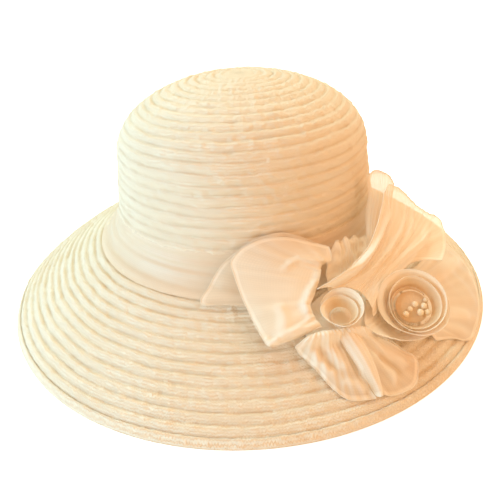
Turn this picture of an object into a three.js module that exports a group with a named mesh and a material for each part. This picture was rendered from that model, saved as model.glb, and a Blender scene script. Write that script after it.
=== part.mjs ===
// A wide-brimmed dress hat of sewn braid with a sheer band and an organza flower, in millimetres.
// +Z is up, -Y is the wearer's front, and the brim's edge stands on Z = 0.
import * as THREE from 'three';

// The hat's form. Radii are side to side, and front to back is longer by EXTRA_LENGTH.
const EDGE_RADIUS = 167.5;
const EXTRA_LENGTH = 6.85;
const EXTRA_FULL_FROM = 60;
const TURN_DOWN = { radius: 164.9, height: 4.9 };
const BRIM_BEND = { radius: 134.0, height: 30.4 };
const CORNER = { radius: 90.0, height: 48.4 };
const SHOULDER = { radius: 82.7, height: 98.8 };
const DOME_HEIGHT = 45.8;
const DOME_ROUNDNESS = 2.13;
const WALL = 1.7;
const SEAM_GAP = 0.3;
const SEGMENTS = 36;

// The braid. Each row's upper edge stands proud of the row above it.
const ROW_PITCH = 6.0;
const LIP = 0.8;
const LIP_WIDTH = 0.4;
const FOOT_WIDTH = 2.2;

// The sheer band over the corner.
const BAND = { topHeight: 67.0, bendRadius: 89.6, bendHeight: 50.2, bottomRadius: 103.4, clear: 0.4, thick: 1.1 };

// The cloth flower.
const CLOTH = 1.0;
const SUPPORT_BEND = { radius: 134.0, height: 30.8 };
const SUPPORT_BLEND = 34;

// The colour, roughness and metalness of each material.
const BRAID = new THREE.MeshStandardMaterial({ color: '#f4e8d2', roughness: 0.85, metalness: 0 });
const ORGANZA = new THREE.MeshStandardMaterial({ color: '#f8e2c6', roughness: 0.45, metalness: 0 });
const PEARL = new THREE.MeshStandardMaterial({ color: '#fbf3e6', roughness: 0.2, metalness: 0 });

const group = new THREE.Group();

// Adds a closed solid, with its faces turned outwards.
function addSolid(name, points, triangles, material) {
  let volume = 0;
  for (const [a, b, c] of triangles) {
    const [p, q, r] = [points[a], points[b], points[c]];
    volume += p[0] * (q[1] * r[2] - q[2] * r[1]) - p[1] * (q[0] * r[2] - q[2] * r[0]);
    volume += p[2] * (q[0] * r[1] - q[1] * r[0]);
  }
  const facing = volume < 0 ? triangles.map(([a, b, c]) => [a, c, b]) : triangles;
  const geometry = new THREE.BufferGeometry();
  geometry.setAttribute('position', new THREE.Float32BufferAttribute(points.flat(), 3));
  geometry.setIndex(facing.flat());
  geometry.computeVertexNormals();
  const mesh = new THREE.Mesh(geometry, material);
  mesh.name = name;
  group.add(mesh);
}

function mix(a, b, share) {
  return a + (b - a) * share;
}

// A point of the hat at a radius, a height and an angle in radians, with the longer front and back.
function onPlan(radius, height, angle) {
  const deep = radius + EXTRA_LENGTH * Math.min(1, radius / EXTRA_FULL_FROM);
  return [radius * Math.cos(angle), deep * Math.sin(angle), height];
}

// A quadratic curve through a start, towards a bend, to an end, as [radius, height] points.
function bend(start, towards, end, count) {
  const line = [];
  for (let i = 0; i <= count; i++) {
    const t = i / count;
    const at = (k) => (1 - t) * (1 - t) * start[k] + 2 * t * (1 - t) * towards[k] + t * t * end[k];
    line.push([at(0), at(1)]);
  }
  return line;
}

// The distance along a line of [radius, height] points, point by point.
function distances(line) {
  const along = [0];
  for (let i = 1; i < line.length; i++) {
    along.push(along[i - 1] + Math.hypot(line[i][0] - line[i - 1][0], line[i][1] - line[i - 1][1]));
  }
  return along;
}

// The point at a distance along a line, moved out by a lift at right angles to the line.
function alongLine(line, along, distance, lift) {
  const place = (d) => {
    let i = 1;
    while (i < along.length - 1 && along[i] < d) i++;
    const share = (d - along[i - 1]) / (along[i] - along[i - 1]);
    return [mix(line[i - 1][0], line[i][0], share), mix(line[i - 1][1], line[i][1], share)];
  };
  const here = place(distance);
  const before = place(distance - 0.5);
  const after = place(distance + 0.5);
  const run = Math.hypot(after[0] - before[0], after[1] - before[1]);
  const outward = [(after[1] - before[1]) / run, -(after[0] - before[0]) / run];
  return [here[0] + lift * outward[0], here[1] + lift * outward[1]];
}

// A solid turned from a section of [radius, height] points. A point on the axis is one shared point.
function turned(name, section, material) {
  const points = [];
  const rings = section.map(([radius, height]) => {
    if (radius < 0.01) {
      points.push([0, 0, height]);
      return Array(SEGMENTS).fill(points.length - 1);
    }
    const ring = [];
    for (let i = 0; i < SEGMENTS; i++) {
      points.push(onPlan(radius, height, (2 * Math.PI * i) / SEGMENTS));
      ring.push(points.length - 1);
    }
    return ring;
  });
  const triangles = [];
  for (let k = 0; k < rings.length; k++) {
    const low = rings[k];
    const high = rings[(k + 1) % rings.length];
    for (let i = 0; i < SEGMENTS; i++) {
      const j = (i + 1) % SEGMENTS;
      if (low[i] !== low[j]) triangles.push([low[i], low[j], high[j]]);
      if (high[i] !== high[j]) triangles.push([low[i], high[j], high[i]]);
    }
  }
  addSolid(name, points, triangles, material);
}

// The outside of braid rows between two distances, each row rising to its lip and stepping back in.
function braidRows(line, along, from, to) {
  const outside = [];
  for (let start = from; start + ROW_PITCH <= to + 0.01; start += ROW_PITCH) {
    outside.push(alongLine(line, along, start + LIP_WIDTH / 2, 0));
    outside.push(alongLine(line, along, start + ROW_PITCH - LIP_WIDTH / 2, LIP));
  }
  return outside;
}

// The crown: a slightly tapered wall and a full dome, with rows from the band's top to the button.
function makeCrown() {
  const line = [[CORNER.radius, CORNER.height + SEAM_GAP], [SHOULDER.radius, SHOULDER.height]];
  const domeSteps = 90;
  for (let i = 1; i <= domeSteps; i++) {
    const angle = (Math.PI / 2) * (i / domeSteps);
    const radius = SHOULDER.radius * Math.pow(Math.max(Math.cos(angle), 0), 2 / DOME_ROUNDNESS);
    line.push([radius, SHOULDER.height + DOME_HEIGHT * Math.pow(Math.sin(angle), 2 / DOME_ROUNDNESS)]);
  }
  const along = distances(line);
  const full = along[along.length - 1];
  const rise = Math.hypot(SHOULDER.radius - CORNER.radius, SHOULDER.height - CORNER.height);
  const bandTop = ((BAND.topHeight - CORNER.height) / (SHOULDER.height - CORNER.height)) * rise;
  const rows = Math.floor((full - bandTop - 4) / ROW_PITCH);
  const rowEnd = bandTop + rows * ROW_PITCH;
  const outside = [[CORNER.radius, CORNER.height + SEAM_GAP], ...braidRows(line, along, bandTop, rowEnd)];
  outside.push([0, SHOULDER.height + DOME_HEIGHT + LIP / 2]);
  const inside = [[0, SHOULDER.height + DOME_HEIGHT - WALL]];
  const insideSteps = 8;
  for (let i = insideSteps - 1; i >= 1; i--) {
    const share = Math.pow(i / insideSteps, 0.9);
    inside.push(alongLine(line, along, rise * 0.9 + (full - rise * 0.9) * share, -WALL));
  }
  inside.push(alongLine(line, along, rise * 0.45, -WALL));
  inside.push([CORNER.radius - WALL, CORNER.height + SEAM_GAP]);
  turned('crown', [...outside, ...inside], BRAID);
}

// The brim: rows that slope down and out to a last row turned down to the floor.
function makeBrim() {
  const edge = [TURN_DOWN.radius, TURN_DOWN.height];
  const line = bend(edge, [BRIM_BEND.radius, BRIM_BEND.height], [CORNER.radius, CORNER.height], 60);
  const along = distances(line);
  const full = along[along.length - 1];
  const rows = Math.floor((full - 12) / ROW_PITCH);
  const top = [[EDGE_RADIUS, 0], [EDGE_RADIUS - 0.4, 1.6], alongLine(line, along, 0, LIP)];
  top.push(...braidRows(line, along, LIP_WIDTH, LIP_WIDTH + rows * ROW_PITCH));
  top.push(alongLine(line, along, rows * ROW_PITCH + 2 * LIP_WIDTH, 0), [CORNER.radius, CORNER.height]);
  const under = [[CORNER.radius - WALL, CORNER.height]];
  const underSteps = 7;
  for (let i = underSteps; i >= 1; i--) {
    under.push(alongLine(line, along, (full * (i - 0.35)) / underSteps, -WALL));
  }
  under.push([TURN_DOWN.radius - 1.4, TURN_DOWN.height - 1.2], [EDGE_RADIUS - FOOT_WIDTH, 0]);
  turned('brim', [...top, ...under], BRAID);
}

// The brim's top at a radius, without the lips.
function brimHeight(radius) {
  const edge = [TURN_DOWN.radius, TURN_DOWN.height];
  const line = bend(edge, [BRIM_BEND.radius, BRIM_BEND.height], [CORNER.radius, CORNER.height], 200);
  let i = 1;
  while (i < line.length - 1 && line[i][0] > radius) i++;
  return mix(line[i - 1][1], line[i][1], (radius - line[i - 1][0]) / (line[i][0] - line[i - 1][0]));
}

// The band: one smooth concave sweep from the crown's wall to the brim.
function makeBand() {
  const rise = (BAND.topHeight - CORNER.height) / (SHOULDER.height - CORNER.height);
  const topRadius = mix(CORNER.radius, SHOULDER.radius, rise) + BAND.clear;
  const bottom = [BAND.bottomRadius, brimHeight(BAND.bottomRadius) + BAND.clear];
  const line = bend([topRadius, BAND.topHeight], [BAND.bendRadius, BAND.bendHeight], bottom, 40);
  const along = distances(line);
  const full = along[along.length - 1];
  const steps = 4;
  const outer = [];
  const inner = [];
  for (let i = 0; i <= steps; i++) {
    const d = Math.min(Math.max((full * i) / steps, 0.5), full - 0.5);
    inner.push(alongLine(line, along, d, 0));
    outer.push(alongLine(line, along, d, -BAND.thick));
  }
  turned('hat_band', [...outer, ...inner.reverse()], ORGANZA);
}

// The smooth surface that the flower's cloth is laid over: brim, a wide sweep, crown wall.
const supportLine = (() => {
  const brim = bend([EDGE_RADIUS, 0], [SUPPORT_BEND.radius, SUPPORT_BEND.height], [CORNER.radius, CORNER.height], 60);
  const brimAlong = distances(brim);
  const cut = brimAlong[brimAlong.length - 1] - SUPPORT_BLEND;
  const from = alongLine(brim, brimAlong, cut, 0);
  const length = Math.hypot(SHOULDER.radius - CORNER.radius, SHOULDER.height - CORNER.height);
  const share = SUPPORT_BLEND / length;
  const to = [mix(CORNER.radius, SHOULDER.radius, share), mix(CORNER.height, SHOULDER.height, share)];
  const outer = brim.filter((point, i) => brimAlong[i] < cut - 1);
  const sweep = bend(from, [CORNER.radius, CORNER.height], to, 30);
  return [...outer, ...sweep, [SHOULDER.radius, SHOULDER.height]];
})();
const supportAlong = distances(supportLine);

// A point over the hat. angle is in degrees round the hat with the front at -90, along is the distance
// up from the brim's edge, and lift is the height off the surface.
function overHat(angle, along, lift) {
  const [radius, height] = alongLine(supportLine, supportAlong, along, lift);
  const turn = (angle * Math.PI) / 180;
  return onPlan(radius, height, turn);
}

// A smooth curve through four values in a row.
function through(a, b, c, d, t) {
  const square = t * t;
  const cube = square * t;
  return 0.5 * (2 * b + (c - a) * t + (2 * a - 5 * b + 4 * c - d) * square + (3 * b - a - 3 * c + d) * cube);
}

// A thin closed sheet from a grid of points, with half the thickness on each side.
function sheetSolid(name, grid, thick) {
  const rows = grid.length;
  const columns = grid[0].length;
  const points = [];
  const sides = [1, -1].map((side) =>
    grid.map((row, i) =>
      row.map((point, j) => {
        const a = new THREE.Vector3(...grid[Math.min(i + 1, rows - 1)][j]);
        a.sub(new THREE.Vector3(...grid[Math.max(i - 1, 0)][j]));
        const b = new THREE.Vector3(...row[Math.min(j + 1, columns - 1)]);
        b.sub(new THREE.Vector3(...row[Math.max(j - 1, 0)]));
        const out = a.cross(b).normalize().multiplyScalar((side * thick) / 2);
        points.push([point[0] + out.x, point[1] + out.y, point[2] + out.z]);
        return points.length - 1;
      }),
    ),
  );
  const triangles = [];
  const quad = (a, b, c, d) => triangles.push([a, b, c], [a, c, d]);
  const [front, back] = sides;
  for (let i = 0; i + 1 < rows; i++) {
    for (let j = 0; j + 1 < columns; j++) {
      quad(front[i][j], front[i + 1][j], front[i + 1][j + 1], front[i][j + 1]);
      quad(back[i][j], back[i][j + 1], back[i + 1][j + 1], back[i + 1][j]);
    }
    quad(front[i][0], back[i][0], back[i + 1][0], front[i + 1][0]);
    const end = columns - 1;
    quad(front[i][end], front[i + 1][end], back[i + 1][end], back[i][end]);
  }
  for (let j = 0; j + 1 < columns; j++) {
    quad(front[0][j], front[0][j + 1], back[0][j + 1], back[0][j]);
    const end = rows - 1;
    quad(front[end][j], back[end][j], back[end][j + 1], front[end][j + 1]);
  }
  addSolid(name, points, triangles, ORGANZA);
}

// A petal. Each rib is a fold line from the knot to the hem: its root, middle and hem, each as
// [angle, along, lift]. The cloth runs smoothly from rib to rib.
function makePetal(name, ribs, between, rows) {
  const grid = [];
  for (let k = 0; k + 1 < ribs.length; k++) {
    const steps = k + 2 === ribs.length ? between + 1 : between;
    for (let step = 0; step < steps; step++) {
      const t = step / between;
      const near = [ribs[Math.max(k - 1, 0)], ribs[k], ribs[k + 1], ribs[Math.min(k + 2, ribs.length - 1)]];
      const rib = [0, 1, 2].map((part) => [0, 1, 2].map((i) => through(...near.map((r) => r[part][i]), t)));
      const line = [];
      for (let v = 0; v <= rows; v++) {
        const s = v / rows;
        const root = (1 - s) * (1 - 2 * s);
        const middle = 4 * s * (1 - s);
        const hem = s * (2 * s - 1);
        line.push(overHat(...[0, 1, 2].map((i) => root * rib[0][i] + middle * rib[1][i] + hem * rib[2][i])));
      }
      grid.push(line);
    }
  }
  sheetSolid(name, grid, CLOTH);
}

// A frame of three directions at a place over the hat: outward is the way a coil opens.
function coilFrame(angle, along, lift, outward) {
  const centre = new THREE.Vector3(...overHat(angle, along, lift));
  const axis = new THREE.Vector3(...outward).normalize();
  const side = new THREE.Vector3(0, 0, 1).cross(axis).normalize();
  const up = axis.clone().cross(side);
  return (radius, turn, depth) => {
    const point = centre.clone().addScaledVector(side, radius * Math.cos(turn));
    point.addScaledVector(up, radius * Math.sin(turn)).addScaledVector(axis, depth);
    return [point.x, point.y, point.z];
  };
}

// A point so far to the side of a frame's axis and up from it, at a depth.
function across(place, x, y, depth) {
  return place(Math.hypot(x, y), Math.atan2(y, x), depth);
}

// A coil of cloth. Each of its rows says where along the coil it is, in turns, the radius and depth of
// the lower and the upper edge there, and how far the upper edge is moved to the side.
function makeCoil(name, place, turns, perTurn, startTurn) {
  const first = turns[0].at;
  const last = turns[turns.length - 1].at;
  const steps = Math.round((last - first) * perTurn);
  const grid = [];
  for (let i = 0; i <= steps; i++) {
    const at = mix(first, last, i / steps);
    let k = 1;
    while (k < turns.length - 1 && turns[k].at < at) k++;
    const share = (at - turns[k - 1].at) / (turns[k].at - turns[k - 1].at);
    const value = (key) => mix(turns[k - 1][key], turns[k][key], share);
    const turn = 2 * Math.PI * (at + startTurn);
    const middleRadius = mix(value('lowRadius'), value('highRadius'), 0.62);
    const middleDepth = mix(value('lowDepth'), value('highDepth'), 0.55);
    const shift = value('highSide');
    grid.push([
      place(value('lowRadius'), turn, value('lowDepth')),
      across(place, middleRadius * Math.cos(turn) + shift / 2, middleRadius * Math.sin(turn), middleDepth),
      across(place, value('highRadius') * Math.cos(turn) + shift, value('highRadius') * Math.sin(turn), value('highDepth')),
    ]);
  }
  sheetSolid(name, grid, CLOTH);
}

// A round solid of rings from a section of [radius, depth] points, its ends on the axis.
function makeRound(name, place, section, sides, material) {
  const points = [];
  const rings = section.map(([radius, depth]) => {
    if (radius < 0.01) {
      points.push(place(0, 0, depth));
      return Array(sides).fill(points.length - 1);
    }
    const ring = [];
    for (let i = 0; i < sides; i++) {
      points.push(place(radius, (2 * Math.PI * i) / sides, depth));
      ring.push(points.length - 1);
    }
    return ring;
  });
  const triangles = [];
  for (let k = 0; k + 1 < rings.length; k++) {
    for (let i = 0; i < sides; i++) {
      const j = (i + 1) % sides;
      if (rings[k][i] !== rings[k][j]) triangles.push([rings[k][i], rings[k][j], rings[k + 1][j]]);
      if (rings[k + 1][i] !== rings[k + 1][j]) triangles.push([rings[k][i], rings[k + 1][j], rings[k + 1][i]]);
    }
  }
  addSolid(name, points, triangles, material);
}

makeCrown();
makeBrim();
makeBand();

// The petals, from the lowest layer up. Each row is one rib: root, middle, hem.
makePetal('petal_left_back', [
  [[-70, 64, 3.4], [-76, 69, 3.6], [-83, 73.4, 2.4]],
  [[-70, 66, 3.4], [-79.5, 72, 3.6], [-90, 74.7, 2]],
  [[-70, 68, 3.4], [-83, 76, 3.6], [-97.2, 74.8, 1.7]],
  [[-70, 70, 3.4], [-82.5, 82, 3.4], [-95.5, 85.1, 1.7]],
  [[-69.7, 72, 3.4], [-81, 88, 3.4], [-92.2, 96.1, 1.7]],
  [[-69, 73.5, 3.4], [-78, 92, 3.4], [-87.5, 103.7, 1.7]],
  [[-68, 75, 3.4], [-74, 95, 3.6], [-80, 111, 1.5]],
  [[-66.5, 76, 3.4], [-68.5, 95, 3.6], [-71, 113.4, 1.5]],
  [[-65, 76.5, 3.4], [-64, 93, 3.6], [-63.5, 109, 2.2]],
  [[-63.5, 77, 3.4], [-60.5, 90, 3.8], [-57, 102, 3]],
], 2, 3);

makePetal('petal_left_front', [
  [[-67, 51.5, 11.5], [-68.6, 51, 12.2], [-70.2, 50.7, 10.4]],
  [[-67.5, 54, 12.8], [-71, 51, 13], [-75.4, 48.4, 9.6]],
  [[-68, 57, 13.2], [-73.2, 53, 13], [-79.2, 47.6, 8.8]],
  [[-68.2, 60.5, 13.2], [-74.6, 58, 12.8], [-81, 55, 8.6]],
  [[-67.8, 64.5, 13.2], [-75.4, 66, 12.2], [-83.2, 67, 8.5]],
  [[-66, 70, 13.2], [-75.5, 76, 12], [-85.6, 81.5, 8]],
  [[-64.2, 76, 13], [-74.8, 86, 12], [-87.3, 92.5, 7.4]],
  [[-63.1, 80.5, 13], [-73.5, 92, 11.4], [-88, 100, 6.8]],
  [[-62.2, 84, 12.8], [-71.5, 96, 10.8], [-84.2, 107.4, 4.2]],
  [[-61.4, 87, 12.8], [-68, 99, 10.4], [-77, 111.5, 3.6]],
  [[-60.6, 89, 12.6], [-64.2, 99.5, 10.4], [-68.5, 110.5, 4.2]],
  [[-58.8, 90.2, 12.2], [-59.2, 96.8, 10.8], [-59.6, 103.6, 7.6]],
  [[-57, 90.2, 11.8], [-56.4, 94.8, 11.2], [-55.8, 99.6, 9.4]],
], 2, 4);

makePetal('petal_lower_left', [
  [[-70.2, 48.8, 9], [-71.8, 47.2, 7.6], [-73.6, 45.6, 5.2]],
  [[-69.2, 49, 10.4], [-70.8, 44, 8.6], [-72, 40.4, 4.1]],
  [[-68.1, 49, 9.8], [-69, 41, 6.4], [-69.9, 32.6, 3.4]],
  [[-67, 49.2, 11], [-67.2, 36.5, 8], [-68, 23.3, 3.4]],
  [[-65.8, 48.6, 9.6], [-65.6, 32, 5.5], [-65.8, 15.9, 3.4]],
  [[-64.6, 48, 10.2], [-63.8, 30, 6.6], [-63, 13.1, 3.5]],
  [[-63.4, 47.2, 9.4], [-61.9, 28.5, 5.2], [-60.6, 11.8, 3.7]],
], 2, 4);

makePetal('petal_lower_right', [
  [[-62, 47, 9.4], [-60.6, 28.5, 5.2], [-59.3, 12.6, 3.9]],
  [[-61, 46.6, 10.2], [-59, 27.5, 6.6], [-57.2, 9.6, 3.5]],
  [[-60, 46, 9.6], [-57, 27, 5.3], [-54.8, 8.6, 3.6]],
  [[-59, 45.4, 10.4], [-55.4, 28, 6.8], [-51.8, 9, 3.9]],
  [[-58.2, 44.6, 9.4], [-54, 30, 5], [-49.3, 15, 4.1]],
  [[-57.4, 43.6, 9.6], [-53.4, 33, 6.4], [-48.5, 20.3, 4.3]],
  [[-57, 42.2, 8.4], [-53.6, 36, 6], [-50, 26, 4.6]],
], 2, 4);

makePetal('petal_rolled', [
  [[-64, 45, 12], [-62.6, 32, 8.8], [-60.5, 12.6, 6.2]],
  [[-63, 45, 14], [-61.7, 31.6, 11.4], [-60.3, 12, 7.4]],
  [[-61.8, 44.6, 14.8], [-60.6, 31.2, 12.4], [-60, 11.8, 8]],
  [[-60.4, 44.2, 14], [-59.5, 31.2, 11.4], [-59.7, 12, 7.4]],
  [[-59.2, 43.6, 12], [-58.7, 31.4, 8.8], [-59.4, 12.6, 6.2]],
], 2, 4);

makePetal('petal_right', [
  [[-41.8, 31, 3.4], [-41.4, 26, 4.4], [-41, 20.3, 3.9]],
  [[-41, 33, 3.4], [-39, 24, 5.2], [-36.8, 14.8, 3.9]],
  [[-40.2, 36, 3.4], [-36.5, 21.5, 5.8], [-32.5, 5.9, 3.9]],
  [[-39.6, 39, 3.4], [-32.5, 22.5, 6.2], [-25.8, 5.9, 3.9]],
  [[-39.2, 42, 3.4], [-29, 25.5, 6.6], [-19.8, 7.4, 3.9]],
  [[-38.8, 45, 3.4], [-26, 28.5, 6.8], [-14.3, 10, 3.9]],
  [[-38.6, 48, 3.4], [-23, 32.5, 6.8], [-8.2, 15.2, 3.9]],
  [[-38.5, 51, 3.4], [-20.5, 37, 6.6], [-3.9, 21.8, 3.9]],
  [[-38.5, 54, 3.6], [-19, 42, 6.4], [-1.9, 31, 4.1]],
  [[-38.6, 57, 3.8], [-19, 47.5, 6], [-2.9, 39.4, 4.4]],
  [[-39, 60, 4], [-20.5, 53, 5.6], [-6.5, 47.5, 4.6]],
], 2, 3);

makePetal('petal_under_rose', [
  [[-49, 57, 5.4], [-50.5, 57.5, 7.2], [-52, 58, 7.9]],
  [[-49.5, 53, 5.8], [-52, 52.5, 7.4], [-54.5, 52, 8.1]],
  [[-51.3, 48.5, 6.8], [-53.8, 47.8, 8.4], [-56.4, 46.8, 9.6]],
  [[-51.8, 45, 6.8], [-54.3, 43.6, 8.8], [-56.3, 42, 10.8]],
  [[-51.3, 41.5, 5.8], [-53.3, 39.6, 8.6], [-55, 37.6, 12]],
  [[-50, 37.5, 5], [-51.8, 34.6, 8.6], [-53.2, 34, 12.6]],
  [[-48, 34.5, 5], [-49.6, 31.4, 8.6], [-51, 30.2, 12.8]],
  [[-45.5, 32.4, 5], [-46.6, 29, 8.6], [-47.4, 26.8, 12.6]],
  [[-43, 31.6, 5], [-43.2, 28, 8.4], [-43.4, 25, 11.8]],
  [[-40.6, 31.8, 5.2], [-40.2, 28.2, 7.8], [-39.8, 24.2, 10]],
], 2, 3);

makePetal('petal_back', [
  [[-47, 68.5, 5], [-34.5, 104, 8], [-29, 129.5, 7.5]],
  [[-46.2, 68.3, 5.6], [-33.5, 104, 10.5], [-26.5, 131.5, 9.5]],
  [[-45.4, 67.9, 5], [-32.5, 103, 11.5], [-25.3, 131, 12.5]],
  [[-44.6, 67.4, 5.6], [-31, 101, 13.5], [-24.6, 129.4, 15.2]],
  [[-43.8, 66.9, 5], [-30, 98, 13], [-21.5, 125.5, 16.4]],
  [[-43, 66.3, 5.6], [-29, 95, 13.6], [-17.5, 119.5, 17]],
  [[-42.2, 65.6, 5], [-28.5, 91, 12], [-14, 112, 16.4]],
], 2, 3);

makePetal('petal_upper', [
  [[-65.8, 71.6, 18.6], [-47.8, 89.5, 22.5], [-34.2, 123, 21.5]],
  [[-64.4, 71.4, 18.8], [-46, 87.6, 23.5], [-31.5, 126, 23]],
  [[-62.4, 70.9, 16.4], [-43.8, 85, 19], [-28.6, 124.6, 20.4]],
  [[-60.4, 69.8, 17], [-41.5, 84.6, 20.5], [-25.6, 121.4, 21.8]],
  [[-58.6, 69, 15.4], [-39.8, 83.4, 18.8], [-22.8, 117.6, 21.4]],
  [[-57, 67.8, 16.6], [-38, 81.6, 22.8], [-19.4, 109, 25]],
  [[-55.6, 65.6, 14], [-36.8, 79.4, 19], [-17, 100.6, 23]],
  [[-54.6, 63.8, 15], [-36.2, 77, 20.4], [-15.2, 91.6, 25.2]],
  [[-54, 61.8, 13.2], [-36.4, 74.4, 17.6], [-14.2, 82, 23.6]],
  [[-53.7, 59.4, 14.8], [-37, 71.4, 20.8], [-13.3, 73, 25.7]],
  [[-53.6, 56.8, 12.6], [-37.4, 68.4, 16.4], [-12.6, 64.5, 24]],
  [[-53.8, 54, 14.2], [-38.2, 66, 18.6], [-11.8, 58, 25.4]],
  [[-53.8, 51.6, 11.6], [-37.6, 63.6, 13.6], [-17, 53.2, 24]],
  [[-54, 49.6, 11.6], [-37, 61.8, 12.8], [-22.6, 49.6, 22.4]],
  [[-54, 48, 10.2], [-36.2, 60.2, 10.8], [-28, 48, 21]],
], 2, 4);

makePetal('petal_tuft', [
  [[-57, 73, 5], [-56, 83, 8.8], [-54.4, 92, 8.6]],
  [[-56, 72.9, 5.4], [-53.8, 88, 10.6], [-52, 100.6, 8.4]],
  [[-55, 72.6, 5], [-51.8, 87, 8], [-49.8, 99, 7]],
  [[-54, 72.3, 5.4], [-49.8, 88, 10.8], [-47.8, 101, 9]],
  [[-53, 71.9, 5], [-48, 86.6, 8], [-45.8, 98, 7]],
  [[-52, 71.5, 5.4], [-46, 87, 10.6], [-43.6, 99.2, 9]],
  [[-51, 71, 5], [-44.2, 85.4, 7.8], [-41.4, 95.6, 7]],
  [[-50, 70.5, 5.4], [-42.6, 85, 9.6], [-39, 95.4, 8.6]],
], 2, 3);
// The gathered cloth under the flower. Its section runs from the middle of the underside round to the
// middle of the top, and the top's middle lies towards the lower left.
const KNOT = { angle: -54.5, along: 54, halfAngle: 15.5, halfAlong: 21, shiftAngle: -6.5, shiftAlong: -5 };
const overKnot = (share, turn, lift) =>
  overHat(
    KNOT.angle + KNOT.halfAngle * share * Math.cos(turn) + KNOT.shiftAngle * (1 - share),
    KNOT.along + KNOT.halfAlong * share * Math.sin(turn) + KNOT.shiftAlong * (1 - share),
    lift,
  );
const KNOT_SECTION = [[0, 1.9], [0.34, 1.9], [0.68, 1.9], [0.98, 2.0], [1, 3.0], [0.88, 3.7], [0.62, 4.2], [0.34, 7.0], [0, 8.3]];
makeRound('flower_knot', overKnot, KNOT_SECTION, 14, ORGANZA);

// The small open rosette in the middle, placed by the middle of its rim.
const overRosette = coilFrame(-62, 56.2, 20, [0.0, -0.42, 0.91]);
makeCoil('rosette', overRosette, [
  { at: 0, lowRadius: 4.4, lowDepth: -10.5, highRadius: 6.6, highDepth: -7, highSide: 0 },
  { at: 1, lowRadius: 5.9, lowDepth: -11, highRadius: 9.4, highDepth: -3, highSide: 0 },
  { at: 2.1, lowRadius: 7.6, lowDepth: -11.5, highRadius: 12.6, highDepth: 0.5, highSide: 0 },
], 13, 0.35);

// The large rose, placed by the middle of its rim, with its heart and the pearls. Its hollow opens
// a little to the left.
const overRose = coilFrame(-45, 42.2, 21.8, [0.1, -0.62, 0.78]);
makeCoil('rose', overRose, [
  { at: 0, lowRadius: 10.0, lowDepth: -11, highRadius: 12.6, highDepth: -4, highSide: -1.6 },
  { at: 1, lowRadius: 11.4, lowDepth: -11.5, highRadius: 14.8, highDepth: -1.5, highSide: -1.1 },
  { at: 2, lowRadius: 12.8, lowDepth: -12, highRadius: 17.2, highDepth: 0, highSide: -0.5 },
  { at: 3, lowRadius: 14.2, lowDepth: -12.3, highRadius: 19.5, highDepth: -0.5, highSide: 0 },
], 13, 0.1);
const HEART_SECTION = [[0, -12.6], [8.3, -12.2], [9.1, -10.6], [6.6, -9.2], [0, -8.6]];
makeRound('rose_heart', overRose, HEART_SECTION, 14, ORGANZA);

// Each pearl's place on the heart: to the side, up, its depth below the rose's rim, and its radius.
const PEARLS = [
  { side: -5.4, up: -4.7, depth: -7.3, radius: 1.8 },
  { side: -2.6, up: -2.0, depth: -7.1, radius: 1.5 },
  { side: 0.4, up: 0.3, depth: -6.6, radius: 1.8 },
  { side: 2.5, up: -4.5, depth: -6.8, radius: 2.0 },
  { side: 5.2, up: -0.9, depth: -7.0, radius: 1.8 },
  { side: 6.6, up: -4.5, depth: -7.6, radius: 1.8 },
  { side: 7.2, up: 2.6, depth: -8.0, radius: 1.4 },
];
const PEARL_SIDES = 10;
const PEARL_RINGS = 4;
PEARLS.forEach(({ side, up, depth, radius }, i) => {
  const place = (round, turn, lift) => {
    return across(overRose, side + round * Math.cos(turn), up + round * Math.sin(turn), depth + lift);
  };
  const section = [];
  for (let k = 0; k <= PEARL_RINGS; k++) {
    const angle = (Math.PI * k) / PEARL_RINGS;
    section.push([k % PEARL_RINGS === 0 ? 0 : radius * Math.sin(angle), -radius * Math.cos(angle)]);
  }
  makeRound(`pearl_${i + 1}`, place, section, PEARL_SIDES, PEARL);
});

export default group;
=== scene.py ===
"""A wedding hat of sewn braid with a sheer band and an organza flower. Lengths here are in millimetres,
and build_mesh turns them into metres. +Z is up and -Y is the wearer's front."""

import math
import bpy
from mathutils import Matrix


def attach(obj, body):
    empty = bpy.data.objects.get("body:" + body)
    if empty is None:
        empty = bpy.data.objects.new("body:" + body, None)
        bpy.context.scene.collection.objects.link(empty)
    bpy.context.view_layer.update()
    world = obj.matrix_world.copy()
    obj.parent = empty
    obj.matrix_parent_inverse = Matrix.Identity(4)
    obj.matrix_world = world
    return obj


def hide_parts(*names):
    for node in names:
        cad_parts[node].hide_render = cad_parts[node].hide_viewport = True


bl_info = {
    "name": "Wedding Hat",
    "version": (1, 0, 0),
    "blender": (4, 5, 0),
    "location": "3D View > Sidebar > Wedding Hat",
    "description": "Builds a sewn braid hat with a sheer band and an organza flower",
    "category": "Add Mesh",
}

import bmesh
import bpy
import numpy as np
from mathutils import Matrix

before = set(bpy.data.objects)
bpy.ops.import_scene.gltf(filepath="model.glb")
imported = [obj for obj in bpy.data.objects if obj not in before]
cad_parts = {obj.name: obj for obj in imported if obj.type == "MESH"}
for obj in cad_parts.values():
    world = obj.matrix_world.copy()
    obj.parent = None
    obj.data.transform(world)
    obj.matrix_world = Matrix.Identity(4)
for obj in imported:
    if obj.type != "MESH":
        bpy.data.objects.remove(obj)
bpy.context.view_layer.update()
MM = 0.001

# The hat's form. Radii are side to side, and front to back is longer by EXTRA_LENGTH.
EDGE_RADIUS = 167.5
EXTRA_LENGTH = 6.85
EXTRA_FULL_FROM = 60
TURN_DOWN = (164.9, 4.9)
BRIM_BEND = (134.0, 30.4)
CORNER = (90.0, 48.4)
SHOULDER = (82.7, 98.8)
DOME_HEIGHT = 45.8
DOME_ROUNDNESS = 2.13
WALL = 1.7
SEAM_GAP = 0.3

# The braid: the distance from row to row, a whole plait's length, and the points round each ring.
ROW_PITCH = 6.0
PLAIT = 3.2
CROWN_COLUMNS = 420
BRIM_COLUMNS = 720

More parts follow.
